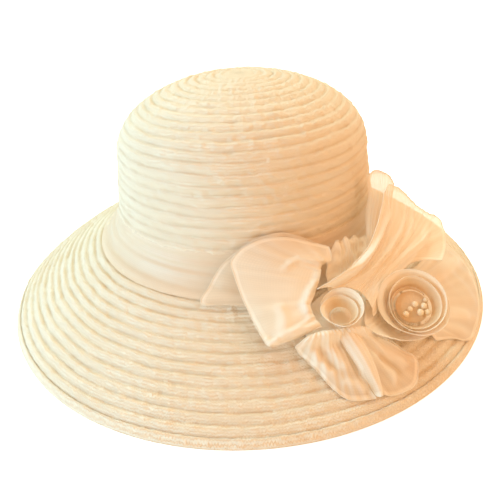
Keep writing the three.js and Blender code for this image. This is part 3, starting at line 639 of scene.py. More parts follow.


# Each petal is a list of ribs from the knot to the hem, as root, middle and hem, each with its angle in
# degrees, its distance up from the brim's edge and its lift. drawn holds folds, each with the line it
# follows, its height and its width. The other values are:
# seed: the start of its random folds          folds: how many of them there are to a rib
# gather: height of the folds at the root      flutter: height of the folds at the hem
# dent, dent_size: depth and size of dents     cover: how dense the cloth is, 0 to 1; it also paints it paler
# calm: how far the ribs are evened out        fold_shade: how much painted shade a sunken fold gets
# reach: a move of the root                    hems: which of its edges are hemmed
# rows, between: points along a rib and between two ribs
PETALS = {
    "petal_left_back": {
        "ribs": [
            [(-70, 64, 3.4), (-76, 69, 3.6), (-83, 73.4, 2.4)],
            [(-70, 66, 3.4), (-79.5, 72, 3.6), (-90, 74.7, 2)],
            [(-70, 68, 3.4), (-83, 76, 3.6), (-97.2, 74.8, 1.7)],
            [(-70, 70, 3.4), (-82.5, 82, 3.4), (-95.5, 85.1, 1.7)],
            [(-69.7, 72, 3.4), (-81, 88, 3.4), (-92.2, 96.1, 1.7)],
            [(-69, 73.5, 3.4), (-78, 92, 3.4), (-87.5, 103.7, 1.7)],
            [(-68, 75, 3.4), (-74, 95, 3.6), (-80, 111, 1.5)],
            [(-66.5, 76, 3.4), (-68.5, 95, 3.6), (-71, 113.4, 1.5)],
            [(-65, 76.5, 3.4), (-64, 93, 3.6), (-63.5, 109, 2.2)],
            [(-63.5, 77, 3.4), (-60.5, 90, 3.8), (-57, 102, 3)],
        ],
        "seed": 3,
        "gather": 0.2,
        "dent": 0.3,
        "cover": 0.1,
        "flat": (0.062, 0.040),
    },
    "petal_left_front": {
        "ribs": [
            [(-67, 51.5, 11.5), (-68.6, 51, 12.2), (-70.2, 50.7, 10.4)],
            [(-67.5, 54, 12.8), (-71, 51, 13), (-75.4, 48.4, 9.6)],
            [(-68, 57, 13.2), (-73.2, 53, 13), (-79.2, 47.6, 8.8)],
            [(-68.2, 60.5, 13.2), (-74.6, 58, 12.8), (-81, 55, 8.6)],
            [(-67.8, 64.5, 13.2), (-75.4, 66, 12.2), (-83.2, 67, 8.5)],
            [(-66, 70, 13.2), (-75.5, 76, 12), (-85.6, 81.5, 8)],
            [(-64.2, 76, 13), (-74.8, 86, 12), (-87.3, 92.5, 7.4)],
            [(-63.1, 80.5, 13), (-73.5, 92, 11.4), (-88, 100, 6.8)],
            [(-62.2, 84, 12.8), (-71.5, 96, 10.8), (-84.2, 107.4, 4.2)],
            [(-61.4, 87, 12.8), (-68, 99, 10.4), (-77, 111.5, 3.6)],
            [(-60.6, 89, 12.6), (-64.2, 99.5, 10.4), (-68.5, 110.5, 4.2)],
            [(-58.8, 90.2, 12.2), (-59.2, 96.8, 10.8), (-59.6, 103.6, 7.6)],
            [(-57, 90.2, 11.8), (-56.4, 94.8, 11.2), (-55.8, 99.6, 9.4)],
        ],
        "drawn": [
            ([(-73, 91.7), (-69.5, 96.1), (-67, 97.2), (-62.2, 93.7), (-57, 89.2)], 1.3, 2.0),
            ([(-61, 88.6), (-63.5, 79.9), (-66.8, 73), (-69.2, 65.1), (-69, 58.2), (-68, 56.5)], 2.6, 2.4),
            ([(-58.5, 92), (-62, 86), (-64, 78), (-66, 70)], -1.0, 1.6),
            ([(-80.2, 52), (-79, 48.9), (-76.8, 50)], 1.5, 1.6),
            ([(-77.5, 49), (-75.6, 53.1), (-75, 58.9), (-75.4, 70)], 1.2, 3.0),
            ([(-75.2, 50.3), (-72, 52.4), (-68.8, 52.7), (-66, 52)], 1.2, 1.6),
        ],
        "seed": 8,
        "gather": 0.2,
        "dent": 0.6,
        "dent_size": 22,
        "cover": 0.55,
        "flutter": 0.15,
        "flat": (0.075, 0.036),
    },
    "petal_lower_left": {
        "ribs": [
            [(-70.2, 48.8, 9), (-71.8, 47.2, 7.6), (-73.6, 45.6, 5.2)],
            [(-69.2, 49, 10.4), (-70.8, 44, 8.6), (-72, 40.4, 4.1)],
            [(-68.1, 49, 9.8), (-69, 41, 6.4), (-69.9, 32.6, 3.4)],
            [(-67, 49.2, 11), (-67.2, 36.5, 8), (-68, 23.3, 3.4)],
            [(-65.8, 48.6, 9.6), (-65.6, 32, 5.5), (-65.8, 15.9, 3.4)],
            [(-64.6, 48, 10.2), (-63.8, 30, 6.6), (-63, 13.1, 3.5)],
            [(-63.4, 47.2, 9.4), (-61.9, 28.5, 5.2), (-60.6, 11.8, 3.7)],
        ],
        "drawn": [
            ([(-76, 47.6), (-66, 46.8), (-57, 45.6)], 5.0, 3.0),
            ([(-67.5, 46), (-66, 40), (-65.2, 33.4), (-64.2, 29)], 1.9, 2.2),
            ([(-70.5, 43.1), (-69.5, 36.5), (-67.5, 30), (-68, 27)], 1.5, 2.0),
            ([(-68.5, 45), (-68, 38), (-66.5, 30)], -1.0, 1.6),
            ([(-66, 25), (-63.5, 22), (-61.5, 16)], 1.2, 2.0),
        ],
        "seed": 14,
        "gather": 0.25,
        "dent": 0.95,
        "dent_size": 11,
        "cover": 0.25,
        "flutter": 0.2,
        "fold_shade": 0.3,
        "flat": (0.040, 0.028),
    },
    "petal_lower_right": {
        "ribs": [
            [(-62, 47, 9.4), (-60.6, 28.5, 5.2), (-59.3, 12.6, 3.9)],
            [(-61, 46.6, 10.2), (-59, 27.5, 6.6), (-57.2, 9.6, 3.5)],
            [(-60, 46, 9.6), (-57, 27, 5.3), (-54.8, 8.6, 3.6)],
            [(-59, 45.4, 10.4), (-55.4, 28, 6.8), (-51.8, 9, 3.9)],
            [(-58.2, 44.6, 9.4), (-54, 30, 5), (-49.3, 15, 4.1)],
            [(-57.4, 43.6, 9.6), (-53.4, 33, 6.4), (-48.5, 20.3, 4.3)],
            [(-57, 42.2, 8.4), (-53.6, 36, 6), (-50, 26, 4.6)],
        ],
        "drawn": [
            ([(-69, 46.8), (-60, 45.2), (-51, 42)], 4.6, 3.0),
            ([(-58, 42), (-56, 34.5), (-54.5, 29.3), (-52.5, 24.1), (-51, 18.3)], 1.8, 2.2),
            ([(-58.5, 33), (-56.8, 24.1), (-55.8, 19), (-56, 13.1)], 1.5, 2.0),
            ([(-57, 31), (-55, 24), (-53.6, 15)], -1.0, 1.6),
            ([(-55.5, 40), (-52.5, 34), (-50.5, 28)], 1.2, 2.0),
        ],
        "seed": 21,
        "gather": 0.25,
        "dent": 0.95,
        "dent_size": 11,
        "cover": 0.3,
        "flutter": 0.2,
        "flat": (0.040, 0.030),
    },
    "petal_rolled": {
        "ribs": [
            [(-64, 45, 12), (-62.6, 32, 8.8), (-60.5, 12.6, 6.2)],
            [(-63, 45, 14), (-61.7, 31.6, 11.4), (-60.3, 12, 7.4)],
            [(-61.8, 44.6, 14.8), (-60.6, 31.2, 12.4), (-60, 11.8, 8)],
            [(-60.4, 44.2, 14), (-59.5, 31.2, 11.4), (-59.7, 12, 7.4)],
            [(-59.2, 43.6, 12), (-58.7, 31.4, 8.8), (-59.4, 12.6, 6.2)],
        ],
        "drawn": [
            ([(-62.6, 27), (-61.9, 22), (-61.3, 17.5), (-60.8, 12)], -5.5, 1.3),
        ],
        "seed": 27,
        "gather": 0.2,
        "flutter": 0.05,
        "dent": 0.25,
        "cover": 0.6,
        "fold_shade": 1.0,
        "reach": (-0.3, 2.6, -1.2),
        "flat": (0.016, 0.036),
    },
    "petal_right": {
        "ribs": [
            [(-41.8, 31, 3.4), (-41.4, 26, 4.4), (-41, 20.3, 3.9)],
            [(-41, 33, 3.4), (-39, 24, 5.2), (-36.8, 14.8, 3.9)],
            [(-40.2, 36, 3.4), (-36.5, 21.5, 5.8), (-32.5, 5.9, 3.9)],
            [(-39.6, 39, 3.4), (-32.5, 22.5, 6.2), (-25.8, 5.9, 3.9)],
            [(-39.2, 42, 3.4), (-29, 25.5, 6.6), (-19.8, 7.4, 3.9)],
            [(-38.8, 45, 3.4), (-26, 28.5, 6.8), (-14.3, 10, 3.9)],
            [(-38.6, 48, 3.4), (-23, 32.5, 6.8), (-8.2, 15.2, 3.9)],
            [(-38.5, 51, 3.4), (-20.5, 37, 6.6), (-3.9, 21.8, 3.9)],
            [(-38.5, 54, 3.6), (-19, 42, 6.4), (-1.9, 31, 4.1)],
            [(-38.6, 57, 3.8), (-19, 47.5, 6), (-2.9, 39.4, 4.4)],
            [(-39, 60, 4), (-20.5, 53, 5.6), (-6.5, 47.5, 4.6)],
        ],
        "drawn": [
            ([(-38, 38), (-34, 29), (-30, 20), (-27, 12)], 1.2, 3.0),
            ([(-34, 50), (-24, 42), (-14, 34), (-7, 26)], 1.2, 3.5),
        ],
        "seed": 33,
        "gather": 0.15,
        "dent": 0.7,
        "cover": 0.4,
        "flat": (0.084, 0.058),
    },
    "petal_under_rose": {
        "ribs": [
            [(-49, 57, 5.4), (-50.5, 57.5, 7.2), (-52, 58, 7.9)],
            [(-49.5, 53, 5.8), (-52, 52.5, 7.4), (-54.5, 52, 8.1)],
            [(-51.3, 48.5, 6.8), (-53.8, 47.8, 8.4), (-56.4, 46.8, 9.6)],
            [(-51.8, 45, 6.8), (-54.3, 43.6, 8.8), (-56.3, 42, 10.8)],
            [(-51.3, 41.5, 5.8), (-53.3, 39.6, 8.6), (-55, 37.6, 12)],
            [(-50, 37.5, 5), (-51.8, 34.6, 8.6), (-53.2, 34, 12.6)],
            [(-48, 34.5, 5), (-49.6, 31.4, 8.6), (-51, 30.2, 12.8)],
            [(-45.5, 32.4, 5), (-46.6, 29, 8.6), (-47.4, 26.8, 12.6)],
            [(-43, 31.6, 5), (-43.2, 28, 8.4), (-43.4, 25, 11.8)],
            [(-40.6, 31.8, 5.2), (-40.2, 28.2, 7.8), (-39.8, 24.2, 10)],
        ],
        "seed": 41,
        "gather": 0.2,
        "flutter": 0.1,
        "dent": 0.2,
        # A high cover paints this petal pale against the shade under the rose, as painted light.
        "cover": 0.9,
        "flat": (0.064, 0.013),
    },
    "petal_back": {
        "ribs": [
            [(-47, 68.5, 5), (-34.5, 104, 8), (-29, 129.5, 7.5)],
            [(-46.2, 68.3, 5.6), (-33.5, 104, 10.5), (-26.5, 131.5, 9.5)],
            [(-45.4, 67.9, 5), (-32.5, 103, 11.5), (-25.3, 131, 12.5)],
            [(-44.6, 67.4, 5.6), (-31, 101, 13.5), (-24.6, 129.4, 15.2)],
            [(-43.8, 66.9, 5), (-30, 98, 13), (-21.5, 125.5, 16.4)],
            [(-43, 66.3, 5.6), (-29, 95, 13.6), (-17.5, 119.5, 17)],
            [(-42.2, 65.6, 5), (-28.5, 91, 12), (-14, 112, 16.4)],
        ],
        "seed": 47,
        "gather": 0.12,
        "dent": 0.5,
        "cover": 0.3,
        "calm": 1.0,
        "flat": (0.024, 0.067),
    },
    "petal_upper": {
        "ribs": [
            [(-65.8, 71.6, 18.6), (-47.8, 89.5, 22.5), (-34.2, 123, 21.5)],
            [(-64.4, 71.4, 18.8), (-46, 87.6, 23.5), (-31.5, 126, 23)],
            [(-62.4, 70.9, 16.4), (-43.8, 85, 19), (-28.6, 124.6, 20.4)],
            [(-60.4, 69.8, 17), (-41.5, 84.6, 20.5), (-25.6, 121.4, 21.8)],
            [(-58.6, 69, 15.4), (-39.8, 83.4, 18.8), (-22.8, 117.6, 21.4)],
            [(-57, 67.8, 16.6), (-38, 81.6, 22.8), (-19.4, 109, 25)],
            [(-55.6, 65.6, 14), (-36.8, 79.4, 19), (-17, 100.6, 23)],
            [(-54.6, 63.8, 15), (-36.2, 77, 20.4), (-15.2, 91.6, 25.2)],
            [(-54, 61.8, 13.2), (-36.4, 74.4, 17.6), (-14.2, 82, 23.6)],
            [(-53.7, 59.4, 14.8), (-37, 71.4, 20.8), (-13.3, 73, 25.7)],
            [(-53.6, 56.8, 12.6), (-37.4, 68.4, 16.4), (-12.6, 64.5, 24)],
            [(-53.8, 54, 14.2), (-38.2, 66, 18.6), (-11.8, 58, 25.4)],
            [(-53.8, 51.6, 11.6), (-37.6, 63.6, 13.6), (-17, 53.2, 24)],
            [(-54, 49.6, 11.6), (-37, 61.8, 12.8), (-22.6, 49.6, 22.4)],
            [(-54, 48, 10.2), (-36.2, 60.2, 10.8), (-28, 48, 21)],
        ],
        "drawn": [
            (
                [(-65.8, 70.6), (-62, 72.7), (-58, 76.8), (-52.2, 77.5), (-47.8, 83), (-41, 93)]
                + [(-35.2, 105.4), (-33.2, 116)],
                3.2,
                3.2,
            ),
            (
                [(-64.2, 67.9), (-60, 69.9), (-55.2, 72.4), (-50.8, 74.8), (-45.8, 80.3)]
                + [(-41.2, 87.2), (-31.5, 100.3)],
                -1.8,
                1.8,
            ),
            (
                [(-54.5, 69.6), (-49.2, 71.7), (-43.8, 75.1), (-38.2, 78.9), (-32, 83.7)]
                + [(-26, 91), (-23.8, 101.6)],
                2.2,
                2.2,
            ),
            ([(-50, 64), (-42, 70), (-34, 74), (-26, 78), (-18, 88)], 1.5, 2.6),
            (
                [(-54.5, 47.9), (-53.2, 52.4), (-51.2, 56.2), (-47.5, 59.3), (-41.5, 63.7)]
                + [(-34, 65.1), (-26, 61.7), (-19.8, 63.4)],
                3.4,
                3.2,
            ),
        ],
        "seed": 52,
        "gather": 0.15,
        "flutter": 0.2,
        "dent": 0.7,
        "rows": 60,
        "cover": 0.4,
        "dent_size": 18,
        "calm": 1.0,
        "flat": (0.062, 0.082),
    },
    "petal_tuft": {
        "ribs": [
            [(-59.6, 72.6, 5), (-59.2, 82, 8.4), (-57.4, 91, 8.2)],
            [(-56, 72.9, 5.4), (-53.8, 88, 10.6), (-52, 100.6, 8.4)],
            [(-55, 72.6, 5), (-51.8, 87, 8), (-49.8, 99, 7)],
            [(-54, 72.3, 5.4), (-49.8, 88, 10.8), (-47.8, 101, 9)],
            [(-53, 71.9, 5), (-48, 86.6, 8), (-45.8, 98, 7)],
            [(-52, 71.5, 5.4), (-46, 87, 10.6), (-43.6, 99.2, 9)],
            [(-51, 71, 5), (-44.2, 85.4, 7.8), (-41.4, 95.6, 7)],
            [(-50, 70.5, 5.4), (-42.6, 85, 9.6), (-39, 95.4, 8.6)],
        ],
        "seed": 64,
        "gather": 0.25,
        "flutter": 0.3,
        "dent": 0.9,
        "dent_size": 8,
        # A high cover paints the tuft pale against the shade it lies in, as painted light.
        "cover": 0.8,
        "calm": 0.7,
        "flat": (0.034, 0.028),
    },
}


def coil_frame(angle, along, lift, outward):
    """Places points round an axis over the hat: radius, turn and depth along the way that it opens."""
    centre = over_hat(np.float64(angle), np.float64(along), np.float64(lift))
    axis = unit(np.array(outward, float))
    side = unit(np.cross([0, 0, 1], axis))
    up = np.cross(axis, side)

    def place(radius, turn, depth):
        """centre + side r cos t + up r sin t + axis d."""
        radius, turn, depth = (np.asarray(v)[..., None] for v in (radius, turn, depth))
        return centre + side * radius * np.cos(turn) + up * radius * np.sin(turn) + axis * depth

    return place


# A coil's place is its angle, distance up, lift and axis. Each of its turns has a number, the lower edge's
# radius and depth, the upper edge's radius and depth, and a shift to the side.
ROSE = {
    "place": (-45, 42.2, 21.8, (0.1, -0.62, 0.78)),
    "turns": [
        (0, 10.0, -11, 12.6, -4, -1.6),
        (1, 11.4, -11.5, 14.8, -1.5, -1.1),
        (2, 12.8, -12, 17.2, 0, -0.5),
        (3, 14.2, -12.3, 19.5, -0.5, 0),
    ],
    "start": 0.1,
    "opens": 2.85,
    "bloom": {"out": 2.8, "in": 1.6, "down": 2.6},
    "seed": 71,
    "flat": (0.266, 0.012),
}
ROSETTE = {
    "place": (-62, 56.2, 20, (0.0, -0.42, 0.91)),
    "turns": [(0, 4.4, -10.5, 6.6, -7, 0), (1, 5.9, -11, 9.4, -3, 0), (2.1, 7.6, -11.5, 12.6, 0.5, 0)],
    "start": 0.35,
    "opens": 3.0,
    "bloom": {"out": 0.6, "in": 0.8, "down": 1.0},
    "seed": 83,
    "flat": (0.102, 0.010),
}


def coil_piece(name, coil, settings):
    """A coiled strip: along the turns its lower and upper edges' radius and depth change evenly. From edge
    to edge, s from 0 to 1, the radius goes by s + 0.24 s (1 - s), so it flares like a petal, and sines
    of the turn add small flutes. The outermost turn opens on one side, and the inner ones are drawn in."""
    place = coil_frame(*coil["place"])
    turns = np.array(coil["turns"], float)
    per_turn, rows = 96, 16
    at = np.linspace(turns[0, 0], turns[-1, 0], int((turns[-1, 0] - turns[0, 0]) * per_turn) + 1)
    low_radius, low_depth, high_radius, high_depth, shift = (
        np.interp(at, turns[:, 0], turns[:, k])[:, None] for k in range(1, 6)
    )
    turn = 2 * np.pi * (at + coil["start"])
    s = np.linspace(0, 1, rows + 1)
    tall = 0.25 + 0.75 * smooth_step(at - at[0], 0, 0.55) * (1 - 0.5 * smooth_step(at - at[-1], -0.3, 0))
    high_radius = mix(low_radius, high_radius, tall[:, None])
    high_depth = mix(low_depth, high_depth, tall[:, None])
    facing = np.maximum(0, np.cos(turn - coil["opens"])) ** 1.5
    outermost = smooth_step(at, at[-1] - 1.15, at[-1] - 0.9)
    opened, drawn_in = (outermost * facing)[:, None], ((1 - outermost) * facing)[:, None]
    bloom = coil["bloom"]
    high_radius = high_radius + bloom["out"] * opened - bloom["in"] * drawn_in
    high_depth = high_depth - bloom["down"] * opened
    flare = s + 0.24 * s * (1 - s)
    climb = mix((s + 0.2 * s * (1 - s))[None, :], smooth_step(s, -0.1, 0.6)[None, :], opened)
    radius = mix(low_radius, high_radius, flare[None, :])
    depth = mix(low_depth, high_depth, climb)
    random = np.random.default_rng(coil["seed"])
    flute = sum(np.sin(often * turn + random.uniform(0, 6.28)) / often for often in (1.3, 2.2, 3.7, 6.1))
    radius = radius + 0.4 * flute[:, None] * s[None, :] ** 1.5
    depth = depth + 0.6 * np.roll(flute, 9)[:, None] * s[None, :] ** 1.5
    x = radius * np.cos(turn)[:, None] + shift * s[None, :]
    y = radius * np.sin(turn)[:, None]
    points = place(np.hypot(x, y), np.arctan2(y, x), depth)
    edges = ("start", "hem", "end")
    cover = np.clip(0.6 + 0.3 * (1 - s[None, :]) + 0.3 * turned_in(points, edges, settings), 0, 1)
    # deep tints the inner turns and the lower edges a deeper gold, painted shade of the rose's depth; the
    # opened side gets less of it.
    inner = 1 - 0.75 * (at - at[0]) / (at[-1] - at[0])
    deep = (inner[:, None] * (1 - s[None, :] ** 2) + 0.5 * inner[:, None] ** 2) * (1 - 0.8 * opened)
    deep = np.clip(deep, 0, 1)
    return sheet_mesh(name, points, cover, edges, settings.hem_roll / MM / 3, deep)


# The mound under the flower: its middle, its half widths, and how far its top is drawn aside. Its section
# is a list of shares of the half width and lifts off the hat.
KNOT = {
    "angle": -54.5,
    "along": 54,
    "half_angle": 15.5,
    "half_along": 21,
    "shift_angle": -6.5,
    "shift_along": -5,
}
KNOT_SECTION = [
    (0, 1.9),
    (0.34, 1.9),
    (0.68, 1.9),
    (0.98, 2.0),
    (1, 3.0),
    (0.88, 3.7),
    (0.62, 4.2),
    (0.34, 7.0),
    (0, 8.3),
]


def over_knot(share, turn, lift):
    """A point of the mound: an oval round the knot's middle, its top drawn towards the lower left."""
    angle = KNOT["angle"] + KNOT["half_angle"] * share * np.cos(turn) + KNOT["shift_angle"] * (1 - share)
    along = KNOT["along"] + KNOT["half_along"] * share * np.sin(turn) + KNOT["shift_along"] * (1 - share)
    return over_hat(angle, along, lift)


def round_faces(rings, sides):
    """The faces of a round piece of rings between two tips, which are its last two points."""
    faces = grid_faces(rings, sides, closed_columns=True).tolist()
    i = np.arange(sides)
    next_i = (i + 1) % sides
    first = np.full_like(i, rings * sides)
    top = (rings - 1) * sides
    faces += np.stack([next_i, i, first], axis=1).tolist()
    faces += np.stack([top + i, top + next_i, first + 1], axis=1).tolist()
    return faces


def face_outwards(obj):
    """Turns the faces of a closed piece so that they all point out of it."""
    mesh = bmesh.new()
    mesh.from_mesh(obj.data)
    bmesh.ops.recalc_face_normals(mesh, faces=mesh.faces)
    mesh.to_mesh(obj.data)
    mesh.free()


def knot_piece(name):
    """The gathered mound: its section turned round the knot, with pleats that fan out from the middle."""
    sides = 180
    section = np.array(KNOT_SECTION, float)
    fine = np.linspace(0, len(section) - 1, 57)[1:-1]
    share = np.interp(fine, np.arange(len(section)), section[:, 0])
    lift = np.interp(fine, np.arange(len(section)), section[:, 1])
    turn = 2 * np.pi * np.arange(sides) / sides
    random = np.random.default_rng(91)
    pleats = sum(np.sin(often * turn + random.uniform(0, 6.28)) for often in (17, 26, 41)) / 2
    on_top = smooth_step(fine, 4.2, 5.5) * (1 - smooth_step(fine, 7.6, 8))
    lifts = lift[:, None] + 0.3 * pleats[None, :] * (on_top * smooth_step(share, 0.2, 0.6))[:, None]
    points = over_knot(share[:, None], turn[None, :], lifts)
    tips = np.stack([over_knot(0.0, 0.0, section[0, 1]), over_knot(0.0, 0.0, section[-1, 1])])
    all_points = np.concatenate([points.reshape(-1, 3), tips])
    # The whole mound takes the palest cloth colour, painted light against the shade it lies in.
    obj = build_mesh(name, all_points, round_faces(len(points), sides), cover=np.full(len(all_points), 1.0))
    face_outwards(obj)
    return obj


# The heart's section: radius, and depth below the rose's rim.
HEART_SECTION = [(0, -12.6), (8.3, -12.2), (9.1, -10.6), (6.6, -9.2), (0, -8.6)]


def heart_piece(name):
    """The rose's heart: a small puff of cloth, drawn in by radial gathers."""
    place = coil_frame(*ROSE["place"])
    sides = 120
    section = np.array(HEART_SECTION, float)
    fine = np.linspace(0, len(section) - 1, 33)[1:-1]
    radius = np.interp(fine, np.arange(len(section)), section[:, 0])
    depth = np.interp(fine, np.arange(len(section)), section[:, 1])
    turn = 2 * np.pi * np.arange(sides) / sides
    random = np.random.default_rng(97)
    gather = sum(np.sin(often * turn + random.uniform(0, 6.28)) for often in (9, 14, 23)) / 2
    on_top = smooth_step(fine, 1.2, 2.4) * (1 - smooth_step(fine, 3.6, 4))
    height = depth[:, None] + 0.08 * gather[None, :] * on_top[:, None]
    points = place(radius[:, None], turn[None, :], height)
    tips = np.stack([place(0.0, 0.0, section[0, 1]), place(0.0, 0.0, section[-1, 1])])
    all_points = np.concatenate([points.reshape(-1, 3), tips])
    count = len(all_points)
    obj = build_mesh(name, all_points, round_faces(len(points), sides), cover=np.full(count, 0.85))
    # The heart gets a little of the deep colour, painted shade of the rose's depth.
    attribute = obj.data.attributes.new("deep", "FLOAT", "POINT")
    attribute.data.foreach_set("value", np.full(count, 0.3, np.float32))
    face_outwards(obj)
    return obj


# Each pearl on the heart: to the side, up, its depth below the rose's rim, and its radius.
PEARLS = [
    (-5.4, -4.7, -7.3, 1.8),
    (-2.6, -2.0, -7.1, 1.5),
    (0.4, 0.3, -6.6, 1.8),
    (2.5, -4.5, -6.8, 2.0),
    (5.2, -0.9, -7.0, 1.8),
    (6.6, -4.5, -7.6, 1.8),
    (7.2, 2.6, -8.0, 1.4),
]


def pearl_piece(name, pearl, seed):
    """A bead: rings of a sphere, a little uneven, with a small dimple at each end of its drilled hole."""
    side, up, depth, radius = pearl
    place = coil_frame(*ROSE["place"])
    sides, rings = 40, 22
    polar = np.linspace(0, np.pi, rings + 2)[1:-1]
    turn = 2 * np.pi * np.arange(sides) / sides
    dimple = 1 - 0.10 * np.exp(-((np.sin(polar) / 0.16) ** 2))
    reach = radius * np.sin(polar) * dimple
    along_axis = -radius * np.cos(polar) * dimple
    x = side + reach[:, None] * np.cos(turn)[None, :]
    y = up + reach[:, None] * np.sin(turn)[None, :]
    middle = place(math.hypot(side, up), math.atan2(up, side), depth)
    points = place(np.hypot(x, y), np.arctan2(y, x), depth + along_axis[:, None])
    points = points + (points - middle) * 0.02 * uneven(points, 3, seed)[..., None]
    away = math.hypot(side, up)
    turn = math.atan2(up, side)
    tips = [place(away, turn, depth + end * radius * 0.86) for end in (-1, 1)]
    all_points = np.concatenate([points.reshape(-1, 3), tips])
    obj = build_mesh(name, all_points, round_faces(len(points), sides))
    face_outwards(obj)
    return obj


def band_piece(name):
    """The band: one quadratic curve from the crown to the brim, turned round the oval plan, with long
    shallow pleats round it that are sines of the distance and the angle."""
    rise = (BAND["top"] - CORNER[1]) / (SHOULDER[1] - CORNER[1])
    top_radius = mix(CORNER[0], SHOULDER[0], rise) + BAND["clear"]
    brim = quadratic(TURN_DOWN, BRIM_BEND, CORNER, 200)
    bottom_height = np.interp(-BAND["bottom_radius"], -brim[:, 0], brim[:, 1]) + BAND["clear"]
    top, bottom = (top_radius, BAND["top"]), (BAND["bottom_radius"], bottom_height)
    section = Section(quadratic(top, BAND["bend"], bottom, 60))
    columns, rows = BAND["columns"], BAND["rows"]
    s = np.linspace(0, 1, rows + 1)
    angle = np.linspace(0, 2 * np.pi, columns + 1)
    random = np.random.default_rng(101)
    pleats = np.zeros((rows + 1, columns + 1))
    for often, across in ((2, 2.2), (3, 3.1), (5, 4.3), (4, 5.2)):
        start = random.uniform(0, 6.28)
        pleats += np.sin(2 * np.pi * across * s[:, None] + np.sin(often * angle + start)[None, :] + start)
    edge = np.sin(np.pi * np.clip(s, 0.02, 0.98)) ** 0.5
    lift = -(BAND["thick"] * 0.75 * (0.2 + 0.8 * edge[:, None]) + 0.22 * pleats * edge[:, None])
    radius, height = section.lifted(mix(0.4, section.length - 0.4, s)[:, None] + 0 * angle, lift)
    points = on_plan(radius, height, angle[None, :])
    points[:, -1] = points[:, 0]
    cover = 0.15 + 0.15 * np.cos(2 * np.pi * s)[:, None] ** 2 + 0 * angle[None, :]
    rows_map, columns_map = cloth_uv(points)
    faces = grid_faces(rows + 1, columns, closed_columns=True)
    uv = grid_uv(columns_map, rows_map)
    return build_mesh(name, points[:, :-1], faces.tolist(), uv, cover[:, :-1])


# Materials


def add_node(tree, kind, inputs=None, **settings):
    """Adds a node with its settings. An input is linked where it is given a socket, and set otherwise."""
    node = tree.nodes.new(kind)
    for key, value in settings.items():
        setattr(node, key, value)
    for key, value in (inputs or {}).items():
        if isinstance(value, bpy.types.NodeSocket):
            tree.links.new(value, node.inputs[key])
        else:
            node.inputs[key].default_value = value
    return node


def new_material(name):
    """An empty node material, with its tree and its output."""
    material = bpy.data.materials.new(name)
    material.use_nodes = True
    material.node_tree.nodes.clear()
    return material, material.node_tree, add_node(material.node_tree, "ShaderNodeOutputMaterial")


def plait_height(tree, u, v, width):
    """A plait of flat strands at 45 degrees, each width wide. Across a strand the height is 1 - t^2, t
    from -1 to 1, and strands of two directions take turns on top."""
    heights, floors = [], []
    for direction in ("ADD", "SUBTRACT"):
        way = add_node(tree, "ShaderNodeMath", {0: u, 1: v}, operation=direction).outputs[0]
        strands = add_node(tree, "ShaderNodeMath", {0: way, 1: width}, operation="DIVIDE").outputs[0]
        share = add_node(tree, "ShaderNodeMath", {0: strands}, operation="FRACT").outputs[0]
        inputs = {0: share, 1: 2.0, 2: -1.0}
        t = add_node(tree, "ShaderNodeMath", inputs, operation="MULTIPLY_ADD").outputs[0]
        square = add_node(tree, "ShaderNodeMath", {0: t, 1: t}, operation="MULTIPLY").outputs[0]
        height = add_node(tree, "ShaderNodeMath", {0: 1.0, 1: square}, operation="SUBTRACT")
        heights.append(height.outputs[0])
        floors.append(add_node(tree, "ShaderNodeMath", {0: strands}, operation="FLOOR").outputs[0])
    crossing = add_node(tree, "ShaderNodeMath", {0: floors[0], 1: floors[1]}, operation="ADD").outputs[0]
    over = add_node(tree, "ShaderNodeMath", {0: crossing, 1: 1.0}, operation="PINGPONG").outputs[0]
    return add_node(tree, "ShaderNodeMix", {0: over, 2: heights[1], 3: heights[0]}).outputs[0]


